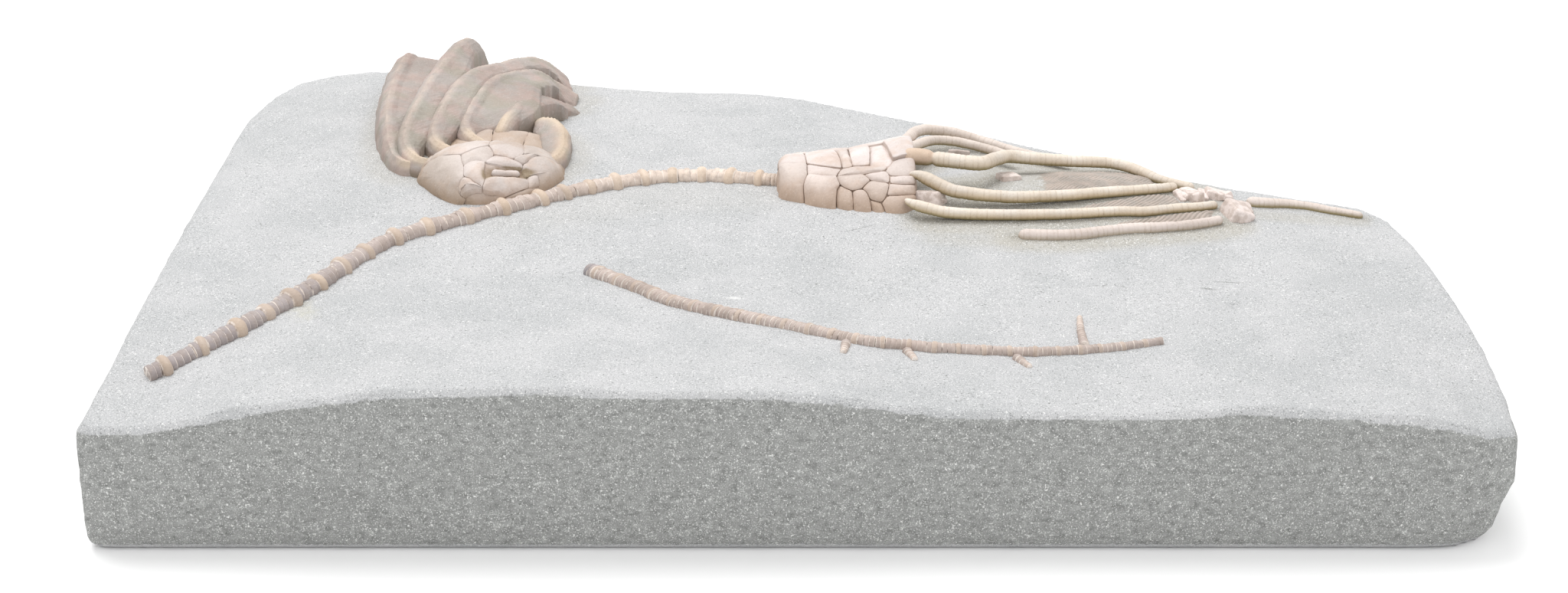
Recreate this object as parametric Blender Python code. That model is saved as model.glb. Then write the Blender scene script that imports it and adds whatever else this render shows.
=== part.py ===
"""Crinoid fossil plate.

A sawn and prepared slab of grey siltstone that holds two sea lilies in relief: the right one lies on its side
with its long stem, plated cup and spread arms, the left one is seen from below, with its arms swept back.
A second, thinner stem lies by itself in front. Lengths are in millimetres until an object is made, and
the plate rests on its flat underside.
"""

import math

import bmesh
import bpy
from mathutils import Vector, noise

MM = 0.001
GAP = 0.3             # clearance between neighbouring pieces
CUP_GAP = 0.5         # and round the cups, whose ends are steep
EMBED = 2.5           # how far a fossil's form runs on below the surface before it is trimmed
BURIED_Z = 15.0       # where the cups' forms end inside the slab
ROUND_SCALE = 10.5    # mean radius of a cup, for laying its wall out flat
TOP_MARK = 1          # marks the slab's top while it is divided
WELD = 0.01           # vertices closer than this are one
FINE = 12             # steps in which a curve is followed from one named point to the next
SHARP_ANGLE = 35.0    # edges bent more than this many degrees are creases

# The slab, as its outline seen from above, anticlockwise from the front left corner
BASE_HEIGHT = 21.2
OUTLINE = [
    (-100.6, -79.9), (-98.4, -80.9), (-60.6, -80.9), (-10.6, -80.9), (39.4, -80.9), (79.4, -80.9),
    (96.6, -80.7), (101.6, -77.9), (103.1, -66.9), (103.3, -50.9), (102.9, -32.9), (102.6, -12.9),
    (101.3, -1.1), (97.8, 4.7), (88.4, 7.5), (76.9, 9.5), (68.9, 12.7), (61.4, 19.5), (51.9, 27.7),
    (42.4, 33.7), (33.4, 40.9), (23.4, 47.1), (12.9, 53.9), (2.9, 60.5), (-6.6, 64.3), (-24.6, 65.3),
    (-43.6, 69.5), (-66.6, 76.7), (-84.6, 80.9), (-91.6, 79.1), (-98.2, 73.6), (-101.6, 63.6),
    (-103.3, 49.1), (-102.8, 24.1), (-102.2, -5.9), (-101.3, -35.9), (-100.8, -60.9),
]
OUTLINE_STEP = 10.0   # longest stretch of the outline between two corners of its wall
# The front edge's height along X, before its rim rounds over
FRONT_RIM = [
    (-104, 19.2), (-92, 19.0), (-85, 20.1), (-77, 22.1), (-66, 23.5), (-56, 24.8), (-34, 25.2), (-21, 24.4),
    (-4, 24.5), (5, 23.8), (15, 22.3), (22, 21.6), (45, 21.1), (57, 21.7), (65, 22.3), (72, 21.7), (78, 21.1),
    (86, 20.8), (92, 19.6), (97, 18.2), (104, 16.6),
]
FRONT_Y = -80.9
FRONT_REACH = 26.0    # how far behind the front edge its height still tells
# Low swells and dishes of the top: centre X, centre Y, half length, half width, rise
SWELLS = [
    (-20, 16, 60, 40, 1.0), (46, 3, 38, 13, 3.0), (-58, 40, 24, 36, 1.2), (-30, -22, 30, 16, -1.0),
    (98, 6, 26, 26, -1.6), (-96, 76, 22, 22, -0.8), (-54, 22.5, 14, 9, 2.3),
]
# The slab's wall from the underside up: inset from the outline, height above the underside, and the further
# inset of the right end, which leans in towards its foot
FOOT_RINGS = [(1.6, 0.0, 4.4), (0.5, 0.6, 3.4), (0.0, 2.4, 2.3), (0.0, 8.0, 0.7)]
LEAN_START = 60.0     # where along X the lean of the right end sets in
LEAN_FULL = 98.0
# and from the rim's foot up to the top surface: inset, height below the surface
RIM_RINGS = [(0.0, -8.0), (0.2, -1.2), (0.8, -0.4), (2.4, 0.0)]
# Lines that divide the top into facets, closer together where the fossils lie
TOP_LINES_X = [-93.5 + 11 * i for i in range(18)]
TOP_LINES_Y = [-75, -69, -60, -50, -40, -30, -20, -11, -3, 5, 13, 22, 31, 41, 52, 64]

# Stems, as points on their centre lines over the slab, with the height of the line above the surface
LONG_STEM = [
    (-93.9, -64.8), (-90.4, -60.8), (-86.0, -55.0), (-81.7, -48.3), (-77.9, -41.4), (-74.5, -34.0),
    (-71.2, -25.6), (-67.3, -17.6), (-63.7, -13.3), (-60.4, -10.3), (-53.4, -5.3), (-46.2, -0.6),
    (-38.8, 4.2), (-31.2, 8.7), (-23.4, 11.8), (-15.5, 12.5), (-9.5, 11.3), (-3.5, 9.8), (-1.0, 9.3),
]
LONG_STEM_RELIEF = 0.3
LONG_STEM_RADIUS = 1.55
LONG_STEM_PITCH = 2.8
SHORT_STEM = [
    (-32.7, -26.5), (-24.9, -34.2), (-18.6, -41.2), (-11.4, -46.0), (-4.4, -50.2), (2.5, -53.8), (9.2, -57.2),
    (16.0, -58.2), (22.6, -58.8), (29.3, -59.5), (36.0, -59.5), (42.9, -58.5), (48.7, -57.4), (54.6, -55.8),
]
SHORT_STEM_RELIEF = 0.15
SHORT_STEM_RADII = (1.45, 0.75)
SHORT_STEM_PITCH = 3.0
# Rootlets beside the short stem, from the stem outwards
CIRRI = [
    [(7.5, -58.4), (7.0, -62.4)], [(16.3, -59.8), (17.4, -63.0)], [(32.2, -61.2), (33.9, -64.6)],
    [(42.7, -56.6), (42.8, -51.1), (43.2, -46.2)],
]
CIRRUS_RADIUS = 0.8

# Arms of the right crown: X, Y and height of the centre line, with the radii at start and end
RIGHT_ARMS = {
    "right_arm_front": ([(18.6, -5.4, 25.1), (20.2, -7.0, 24.8), (24.3, -8.0, 24.0), (27.9, -8.3, 23.7),
                         (33.4, -8.5, 23.6), (38.9, -8.5, 23.6), (46.2, -8.1, 23.6), (53.6, -7.0, 23.6),
                         (58.7, -6.5, 23.4), (63.5, -4.9, 23.3), (68.3, -3.5, 23.1), (71.3, -2.0, 22.9)],
                        1.0, 0.8),
    "right_arm_middle": ([(19.5, 0.4, 27.6), (21.5, -0.3, 27.4), (25.7, -2.7, 26.1), (28.1, -3.5, 25.7),
                          (33.1, -4.1, 25.3), (38.0, -4.2, 25.1), (45.4, -3.1, 25.0), (52.0, -1.4, 24.9),
                          (58.2, 0.5, 24.6), (62.4, 2.2, 24.3), (65.3, 4.0, 23.9)], 1.15, 0.85),
    "right_arm_back": ([(18.5, 5.6, 28.8), (21.5, 5.8, 28.7), (26.1, 4.7, 28.5), (31.7, 4.2, 28.1),
                        (34.9, 8.2, 27.5), (37.5, 12.5, 26.4), (42.1, 13.3, 25.7), (48.6, 14.1, 25.0),
                        (56.0, 15.4, 24.1), (60.2, 12.0, 23.9), (63.5, 7.4, 23.8), (68.5, 4.6, 23.4)],
                       1.35, 0.85),
    "right_arm_outer_loop": ([(18.5, 17.0, 26.7), (20.4, 21.0, 26.8), (21.8, 26.0, 26.2), (23.9, 28.7, 25.8),
                              (26.6, 30.1, 25.1), (29.3, 30.3, 24.6), (34.4, 28.4, 23.6), (39.2, 25.0, 23.1),
                              (44.0, 21.0, 23.2), (48.5, 17.0, 23.8)], 1.1, 0.8),
    "right_arm_inner_loop": ([(19.5, 15.0, 26.7), (22.3, 20.0, 26.1), (25.0, 23.6, 25.5), (28.5, 24.6, 25.0),
                              (32.7, 23.1, 24.6), (36.3, 20.4, 24.4), (38.5, 17.4, 24.6)], 0.95, 0.8),
    "right_arm_low": ([(36.8, -14.1, 22.1), (40.8, -14.4, 22.1), (44.3, -14.4, 22.1), (48.0, -13.9, 22.2),
                       (51.7, -12.8, 22.3), (55.9, -11.9, 22.4), (59.6, -11.5, 22.4), (64.1, -10.5, 22.3),
                       (67.1, -9.5, 22.3), (71.3, -7.6, 22.3)], 1.15, 0.85),
    "right_arm_edge": ([(76.8, 0.5, 22.4), (80.5, 1.1, 21.9), (83.9, 1.8, 21.5), (87.2, 1.9, 21.1),
                        (90.2, 0.8, 20.9), (93.3, -0.1, 20.7), (96.3, -1.2, 20.5)], 1.1, 0.7),
}
ARM_STEP = 2.3
# Sheets of fine side branches between the arms: the lower and the upper edge, each from left to right
FANS = {
    "pinnule_fan_back": ([(41.5, -3.8), (45.4, -3.1), (52.0, -1.4), (58.2, 0.5), (62.4, 2.2)],
                         [(41.0, 12.4), (45.5, 13.2), (51.5, 14.4), (57.4, 14.2), (62.4, 8.6)]),
    "pinnule_fan_middle": ([(44.0, -8.2), (53.6, -7.0), (58.7, -6.5), (62.5, -5.2), (66.6, -4.0)],
                           [(46.0, -5.6), (54.0, -2.6), (60.0, 0.2), (63.0, 0.6), (65.2, -0.8)]),
    "pinnule_fan_front": ([(50.5, -13.2), (55.9, -11.9), (59.6, -11.5), (64.1, -10.5), (69.3, -8.6)],
                          [(52.5, -9.4), (57.5, -8.4), (62.0, -6.8), (66.5, -5.0), (71.0, -3.2)]),
}
FAN_RELIEF = 0.75
FAN_DEPTH = 1.0       # how far the sheets reach into the slab
# Broken ossicles: centre, half sizes and turn about Z in degrees
CHIPS = {
    "chip_behind_arm": ((29.8, 26.3), (1.9, 1.3, 0.9), 10),
    "chip_between_arms": ((37.0, 7.6), (1.9, 1.7, 0.8), 20),
    "chip_at_cup": ((22.9, -2.0), (2.6, 1.7, 1.7), -30),
    "tip_fragment_ridge": ((67.4, 1.0), (2.9, 1.2, 1.3), -66),
    "tip_fragment_large": ((74.3, -4.4), (2.2, 2.8, 1.7), 20),
    "tip_fragment_small": ((72.2, 2.4), (2.6, 1.3, 1.1), 5),
}

# The right cup: the corners of its plates, as distance along its axis and angle round it in degrees, from the
# back over the top to the front
RIGHT_CUP_START = -2.6
RIGHT_CUP_END = 20.6
RIGHT_CUP_AXIS_Y = 8.9
RIGHT_CUP_BASE_Z = 21.4
RIGHT_CUP_CORNERS = {
    "a0": (-2.6, 0), "a1": (8.2, 0), "a2": (15.0, 0), "a3": (20.6, 0),
    "b0": (-2.6, 30), "b1": (4.6, 34), "b2": (11.3, 31), "b3": (20.6, 30),
    "c0": (-2.6, 62), "c1": (1.9, 64), "c2": (7.1, 62), "c3": (9.5, 64), "c4": (13.1, 62), "c5": (15.6, 63),
    "c6": (20.6, 60),
    "d0": (-2.6, 103), "d1": (2.3, 104), "d2": (8.3, 112), "d3": (10.1, 110), "d4": (13.0, 110),
    "d5": (16.1, 115), "d6": (16.9, 108), "d7": (20.6, 106),
    "e1": (2.4, 125), "e2": (7.3, 125), "e3": (11.8, 122), "e4": (15.4, 120), "e5": (16.2, 127),
    "e6": (20.6, 132),
    "f1": (1.7, 145), "f2": (7.3, 143), "f3": (7.9, 137), "f4": (9.1, 142), "f5": (9.9, 144),
    "f6": (11.5, 141),
    "f7": (13.0, 131), "f8": (16.1, 136), "f9": (20.6, 142),
    "g0": (12.2, 144), "g1": (12.8, 154), "g2": (14.7, 158), "g3": (15.6, 150), "g4": (20.6, 154),
    "h0": (-2.6, 180), "h1": (1.9, 180), "h2": (7.3, 180), "h3": (10.0, 180), "h4": (13.2, 180),
    "h5": (16.2, 180), "h6": (20.6, 180),
}
# Its plates, each with its corners and how far it stands out
RIGHT_CUP_PLATES = [
    ("a0 a1 b1 b0", 0.0), ("a1 a2 b2 b1", 0.1), ("a2 a3 b3 b2", 0.0), ("b0 b1 c1 c0", 0.1),
    ("b1 b2 c3 c2 c1", 0.0), ("b2 b3 c6 c5 c4 c3", 0.1), ("c0 c1 d1 d0", 0.0), ("c1 c2 d2 d1", 0.1),
    ("c2 c3 d3 d2", 0.0), ("c3 c4 d4 d3", 0.1), ("c4 c5 d6 d5 d4", -0.35), ("c5 c6 d7 d6", 0.35),
    ("d0 d1 e1 f1 h1 h0", 0.2), ("d1 d2 e2 e1", -0.1), ("d2 d3 d4 d5 e4 e3 e2", 0.0),
    ("d5 d6 d7 e6 e5 e4", -0.2), ("e5 e6 f9 f8", 0.0), ("e1 e2 f3 f2 h2 h1 f1", 0.5),
    ("e2 e3 f7 f6 f5 f4 f3", 0.15), ("e3 e4 e5 f8 f7", 0.0), ("f7 f8 g3 g2 g1 g0 f6", 0.1),
    ("f2 f3 f4 f5 h3 h2", 0.15), ("f5 f6 g0 g1 h4 h3", 0.2), ("g1 g2 h5 h4", 0.0), ("g2 g3 g4 h6 h5", 0.2),
    ("f8 f9 g4 g3", 0.1),
]
# The left cup, seen from below: the same with its axis along Y
LEFT_CUP_START = 0.4
LEFT_CUP_END = 18.5
LEFT_CUP_AXIS_X = -52.6
LEFT_CUP_BASE_Z = 21.7
LEFT_CUP_CORNERS = {
    "a0": (0.4, 0), "a1": (5.0, 0), "a2": (12.0, 0), "a3": (27.5, 0),
    "b0": (0.4, 30), "b1": (3.5, 23), "b2": (5.4, 16), "b3": (13.5, 26), "b4": (27.5, 30),
    "c1": (4.8, 38), "c2": (6.8, 31), "c3": (5.9, 49), "c4": (7.0, 53), "c5": (11.6, 48),
    "d0": (0.4, 60), "d1": (3.0, 60), "d2": (5.2, 70), "d3": (7.4, 65), "d4": (9.7, 59), "d5": (14.5, 64),
    "d6": (27.5, 62),
    "e0": (0.4, 90), "e1": (2.2, 86), "e2": (3.4, 89), "e3": (5.6, 90), "e4": (7.8, 83), "e5": (11.2, 90),
    "e6": (27.5, 96),
    "f1": (1.3, 104), "f2": (2.8, 117), "f3": (5.3, 113), "f4": (6.2, 102), "f5": (8.7, 113),
    "g0": (0.4, 146), "g1": (12.0, 144), "g2": (27.5, 140),
    "h0": (0.4, 180), "h1": (12.4, 180), "h2": (27.5, 180),
}
LEFT_CUP_PLATES = [
    ("a0 a1 b2 b1 b0", 0.0), ("a1 a2 b3 c5 c4 c3 c1 c2 b2", 0.12), ("a2 a3 b4 b3", 0.0),
    ("b0 b1 c1 d1 e1 e0 d0", 0.1), ("b1 b2 c2 c1", 0.12), ("b3 b4 d6 d5 d4 c5", 0.1),
    ("c1 c3 d2 e2 e1 d1", -0.9), ("c3 c4 d3 e4 e3 d2", 0.0),
    ("c4 c5 d4 d3", 0.12), ("d3 d4 d5 e5 e4", 0.1), ("d5 d6 e6 e5", 0.0),
    ("e0 e1 e2 e3 f4 f3 f2 f1", 0.1), ("e3 e4 e5 f5 f3 f4", 0.0), ("e0 f1 f2 g0", 0.12),
    ("e5 e6 g2 g1 f5", 0.1), ("g0 f2 f3 f5 g1 h1 h0", 0.15), ("g1 g2 h2 h1", 0.1),
]
PLATE_STEP = 0.5      # how proud a plate stands of the seams round it
SEAM_WIDTH = 0.32     # half the width of a seam
PLATE_CROWN = 0.35    # how much a plate's middle bulges

# Arms of the left crown. Each crest point is X, Y, height, and the reach of the feathered flank to its right;
# then the reach to its left at both ends, how far the left edge lies below the crest, and the same for the
# right edge at both ends.
LEFT_ARMS = {
    "left_arm_1": ([(-62.8, 13.9, 24.6, 1.3), (-65.3, 13.5, 24.8, 1.4), (-68.0, 14.0, 25.0, 1.5),
                    (-70.3, 16.9, 25.4, 1.8), (-71.6, 21.2, 26.2, 2.6), (-72.7, 27.0, 27.0, 4.0),
                    (-73.8, 34.2, 27.9, 5.4), (-74.7, 46.0, 28.6, 7.8), (-74.7, 56.7, 29.0, 9.6),
                    (-74.2, 64.6, 29.2, 10.8), (-73.8, 69.6, 24.7, 10.8)], (0.8, 4.5), 4.6, (0.6, 3.2)),
    "left_arm_2": ([(-62.6, 13.0, 25.6, 1.4), (-65.0, 13.4, 25.9, 1.6), (-66.9, 15.4, 26.3, 1.8),
                    (-68.4, 18.6, 26.9, 2.8), (-68.9, 22.6, 27.9, 4.3), (-68.5, 27.0, 29.0, 4.5),
                    (-67.7, 33.6, 30.3, 4.2), (-66.7, 41.5, 31.3, 4.4), (-65.4, 49.4, 32.0, 4.8),
                    (-64.3, 57.8, 32.2, 3.6), (-62.4, 64.4, 32.2, 2.7), (-61.5, 68.6, 27.2, 2.7)],
                   (1.3, 3.8), 2.6, (1.6, 2.8)),
    "left_arm_3": ([(-59.0, 16.9, 26.2, 1.4), (-61.2, 17.7, 26.5, 1.6), (-63.0, 19.7, 26.8, 1.9),
                    (-64.0, 22.9, 27.4, 3.2), (-63.8, 27.0, 28.7, 4.4), (-62.9, 33.0, 30.1, 4.5),
                    (-61.5, 40.8, 31.0, 4.2), (-59.5, 49.5, 30.7, 4.0), (-55.8, 54.5, 30.2, 3.6),
                    (-50.7, 60.7, 29.6, 4.6), (-47.3, 63.2, 27.8, 5.0), (-43.6, 64.4, 24.2, 5.0)],
                   (1.3, 2.6), 2.0, (1.2, 1.5)),
    "left_arm_4": ([(-54.0, 19.3, 26.8, 1.4), (-55.9, 20.8, 27.1, 1.6), (-57.6, 23.0, 27.4, 1.9),
                    (-58.8, 26.1, 27.9, 4.6), (-58.6, 31.0, 28.8, 9.0), (-57.7, 36.7, 29.6, 11.5),
                    (-56.1, 44.4, 30.1, 10.0), (-53.2, 50.7, 29.7, 8.0), (-48.6, 54.9, 28.7, 6.4),
                    (-45.3, 56.6, 26.2, 5.0), (-41.0, 56.6, 23.2, 4.0)], (1.3, 2.2), 1.8, (2.8, 1.4)),
    "left_arm_5": ([(-52.6, 25.2, 26.9, 1.8), (-52.0, 28.8, 27.8, 2.0), (-50.6, 33.9, 28.4, 2.6),
                    (-49.0, 40.6, 28.2, 4.2), (-46.4, 46.6, 26.2, 4.6), (-42.4, 51.0, 23.2, 3.6)],
                   (1.3, 2.2), 1.6, (1.4, 1.4)),
    "left_arm_6": ([(-46.8, 33.6, 26.3, 3.6), (-43.6, 32.2, 26.7, 4.2), (-41.4, 28.2, 26.6, 4.6),
                    (-40.5, 21.6, 26.2, 4.6), (-40.9, 16.4, 25.7, 3.6), (-42.4, 13.8, 25.4, 1.8)],
                   (1.2, 1.2), 1.6, (1.7, 1.7)),
}
LEFT_ARM_STEP = 4.0
FLANK_RIB = 0.15      # how far alternate sections of a flank rise and fall

COLOURS = {
    "siltstone": (205, 207, 207), "stem": (172, 158, 148), "cup": (205, 188, 172), "arm": (198, 184, 166),
    "fan": (176, 166, 156), "left_arm": (176, 162, 150), "chip": (214, 200, 194),
}


def smooth_step(t):
    return t * t * (3 - 2 * t)


def front_rim_height(x):
    """Height of the front edge at x, eased from one named point to the next."""
    for (x0, z0), (x1, z1) in zip(FRONT_RIM, FRONT_RIM[1:]):
        if x <= x1:
            return z0 + smooth_step(max(0.0, (x - x0) / (x1 - x0))) * (z1 - z0)
    return FRONT_RIM[-1][1]


def surface_height(x, y):
    """Height of the slab's top at a point of its plan."""
    height = BASE_HEIGHT
    for cx, cy, length, width, rise in SWELLS:
        height += rise * math.exp(-((x - cx) / length) ** 2 - ((y - cy) / width) ** 2)
    depth = max(0.0, y - FRONT_Y) / FRONT_REACH
    return height + (front_rim_height(x) - BASE_HEIGHT) * math.exp(-depth * depth)


def spline_point(points, index, t, closed):
    """A point on the smooth curve through the named points, after the point at index."""
    count = len(points)

    def at(i):
        return Vector(points[i % count] if closed else points[min(max(i, 0), count - 1)])

    before, start, end, after = at(index - 1), at(index), at(index + 1), at(index + 2)
    return 0.5 * (2 * start + (end - before) * t + (2 * before - 5 * start + 4 * end - after) * t * t
                  + (3 * start - before - 3 * end + after) * t * t * t)


def resample(points, step=None, count=None):
    """Evenly spaced points on the smooth curve through the named ones, a given step apart or so many."""
    dense = []
    for i in range((len(points) - 1) * FINE + 1):
        dense.append(spline_point(points, i // FINE, (i % FINE) / FINE, False))
    lengths = [0.0]
    for a, b in zip(dense, dense[1:]):
        lengths.append(lengths[-1] + (b - a).length)
    if count is None:
        count = max(2, round(lengths[-1] / step) + 1)
    result = []
    j = 0
    for i in range(count):
        target = lengths[-1] * i / (count - 1)
        while j < len(lengths) - 2 and lengths[j + 1] < target:
            j += 1
        t = (target - lengths[j]) / max(1e-9, lengths[j + 1] - lengths[j])
        result.append(dense[j].lerp(dense[j + 1], t))
    return result


def on_surface(points, relief):
    """Plan points lifted to the slab's surface plus a relief."""
    return [Vector((p[0], p[1], surface_height(p[0], p[1]) + relief)) for p in points]


def mesh_from(bm, name):
    """A mesh of triangles in metres from a working mesh in millimetres."""
    bmesh.ops.recalc_face_normals(bm, faces=bm.faces)
    bmesh.ops.triangulate(bm, faces=bm.faces, quad_method="FIXED", ngon_method="EAR_CLIP")
    bmesh.ops.scale(bm, vec=(MM, MM, MM), verts=bm.verts)
    mesh = bpy.data.meshes.new(name)
    bm.to_mesh(mesh)
    bm.free()
    return mesh


def ring_solid(rings):
    """A closed working mesh through rings of equally many points, with one face at each end."""
    bm = bmesh.new()
    rows = [[bm.verts.new(p) for p in ring] for ring in rings]
    count = len(rows[0])
    for low, high in zip(rows, rows[1:]):
        for i in range(count):
            j = (i + 1) % count
            bm.faces.new((low[i], low[j], high[j], high[i]))
    bm.faces.new(list(reversed(rows[0])))
    bm.faces.new(rows[-1])
    return bm


def outline_ring():
    """The slab's outline, with its named points and, where they lie far apart, others between them."""
    points = [(x, y, 0.0) for x, y in OUTLINE]
    ring = []
    for i, point in enumerate(points):
        ahead = Vector(points[(i + 1) % len(points)])
        divisions = max(1, round((ahead - Vector(point)).length / OUTLINE_STEP))
        ring += [spline_point(points, i, j / divisions, True) for j in range(divisions)]
    return ring


def slab_mesh(name, grow=0.0):
    """The slab: rings from its underside up the wall and over the rim, and a top that follows its swells."""
    ring = outline_ring()
    outward = []
    for i in range(len(ring)):
        along = ring[(i + 1) % len(ring)] - ring[i - 1]
        outward.append(Vector((along.y, -along.x, 0.0)).normalized())
    rings = []
    for inset, height, lean in FOOT_RINGS:
        row = []
        for p, n in zip(ring, outward):
            share = smooth_step(min(1.0, max(0.0, (p.x - LEAN_START) / (LEAN_FULL - LEAN_START))))
            place = p + n * (grow - inset) - Vector((lean * share, 0.0, 0.0))
            row.append(Vector((place.x, place.y, height - grow)))
        rings.append(row)
    for inset, drop in RIM_RINGS:
        row = []
        for p, n in zip(ring, outward):
            place = p + n * (grow - inset)
            row.append(Vector((place.x, place.y, surface_height(place.x, place.y) + drop + grow)))
        rings.append(row)
    bm = ring_solid(rings)
    max(bm.faces, key=lambda face: (len(face.verts), face.calc_center_median().z)).material_index = TOP_MARK
    for places, axis in ((TOP_LINES_X, Vector((1, 0, 0))), (TOP_LINES_Y, Vector((0, 1, 0)))):
        for place in places:
            parts = {g for face in bm.faces if face.material_index for g in (face, *face.edges, *face.verts)}
            bmesh.ops.bisect_plane(bm, geom=list(parts), dist=1e-4, plane_co=axis * place, plane_no=axis)
    for face in bm.faces:
        if face.material_index == TOP_MARK:
            face.material_index = 0
            for v in face.verts:
                v.co.z = surface_height(v.co.x, v.co.y) + grow
    return mesh_from(bm, name)


def tube_mesh(name, path, radii, resolution, grow=0.0):
    """A round-section tube along a path, with a radius at each point and closed ends."""
    path = list(path)
    path[0] = path[0] + (path[0] - path[1]).normalized() * grow
    path[-1] = path[-1] + (path[-1] - path[-2]).normalized() * grow
    radii = [radius + grow for radius in radii]
    curve = bpy.data.curves.new(name, "CURVE")
    curve.dimensions = "3D"
    curve.bevel_depth = MM
    curve.bevel_resolution = resolution
    curve.use_fill_caps = True
    spline = curve.splines.new("POLY")
    spline.points.add(len(path) - 1)
    for point, place, radius in zip(spline.points, path, radii):
        point.co = (*(place * MM), 1.0)
        point.radius = radius
    guide = bpy.data.objects.new(name, curve)
    bpy.context.scene.collection.objects.link(guide)
    bpy.context.view_layer.update()
    mesh = bpy.data.meshes.new_from_object(guide.evaluated_get(bpy.context.evaluated_depsgraph_get()))
    bpy.data.objects.remove(guide)
    bm = bmesh.new()
    bm.from_mesh(mesh)
    bmesh.ops.remove_doubles(bm, verts=bm.verts, dist=WELD * MM)
    bmesh.ops.recalc_face_normals(bm, faces=bm.faces)
    bm.to_mesh(mesh)
    bm.free()
    mesh.name = name
    return mesh


def ringed_radii(count, start, end, proud, nodal_every=0, nodal=0.0):
    """Radii that swell at every other point, with a larger swelling at each nodal ring."""
    radii = []
    for i in range(count):
        radius = start + (end - start) * i / (count - 1)
        if i % 2:
            ring = i // 2
            radius *= 1 + proud
            if nodal_every and ring % nodal_every == 0:
                radius *= 1 + nodal
        radii.append(radius)
    return radii


def long_stem_mesh(name, grow=0.0):
    plan = resample([(x, y, 0) for x, y in LONG_STEM], step=LONG_STEM_PITCH / 2)
    path = on_surface(plan, LONG_STEM_RELIEF)
    radii = ringed_radii(len(path), LONG_STEM_RADIUS * 0.95, LONG_STEM_RADIUS, 0.16, 3, 0.16)
    return tube_mesh(name, path, radii, 1, grow)


def short_stem_mesh(name, grow=0.0):
    plan = resample([(x, y, 0) for x, y in SHORT_STEM], step=SHORT_STEM_PITCH / 2)
    path = on_surface(plan, SHORT_STEM_RELIEF)
    start, end = SHORT_STEM_RADII
    return tube_mesh(name, path, ringed_radii(len(path), start, end, 0.12), 1, grow)


def cirrus_mesh(name, points):
    path = on_surface(resample([(x, y, 0) for x, y in points], step=1.2), 0.1)
    return tube_mesh(name, path, ringed_radii(len(path), CIRRUS_RADIUS, CIRRUS_RADIUS * 0.8, 0.15), 1)


def right_arm_mesh(arm, name, grow=0.0):
    points, start, end = RIGHT_ARMS[arm]
    path = resample(points, step=ARM_STEP)
    return tube_mesh(name, path, ringed_radii(len(path), start, end, 0.1), 1, grow)


def right_cup_point(along, angle, lift):
    """A point of the right cup's surface: a cone lying down, widest where the arms start."""
    t = (along - RIGHT_CUP_START) / (RIGHT_CUP_END - RIGHT_CUP_START)
    end_round = min(1.0, 0.82 + 0.18 * math.sqrt(max(0.0, min(1.0, t / 0.06))))
    far_round = min(1.0, 0.86 + 0.14 * math.sqrt(max(0.0, min(1.0, (1 - t) / 0.1))))
    width = (7.0 + 7.5 * math.sin(min(1.0, t * 1.05) * math.pi / 2)) * end_round * far_round + lift
    rise = (5.8 + 0.6 * t + 2.6 * t ** 4) * end_round * far_round + lift
    y = RIGHT_CUP_AXIS_Y + width * math.cos(angle)
    return Vector((along, y, RIGHT_CUP_BASE_Z + rise * math.sin(angle)))


def left_cup_point(along, angle, lift):
    """A point of the left cup's surface: a bowl seen from its underside, with a low shelf behind it."""
    t = min(1.0, (along - LEFT_CUP_START) / (LEFT_CUP_END - LEFT_CUP_START))
    end_round = min(1.0, 0.75 + 0.25 * math.sqrt(max(0.0, min(1.0, t / 0.1))))
    far = math.sqrt(max(0.0, min(1.0, (1 - t) / 0.45)))
    width = (5.6 + 8.2 * math.sin(min(1.0, t * 1.1) * math.pi / 2)) * end_round * (0.8 + 0.2 * far) + lift
    rise = (4.0 + 3.3 * math.sin(min(1.0, t * 1.5) * math.pi / 2)) * end_round * (0.62 + 0.38 * far) + lift
    x = LEFT_CUP_AXIS_X + width * math.cos(angle)
    return Vector((x, along, LEFT_CUP_BASE_Z + rise * math.sin(angle)))


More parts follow.
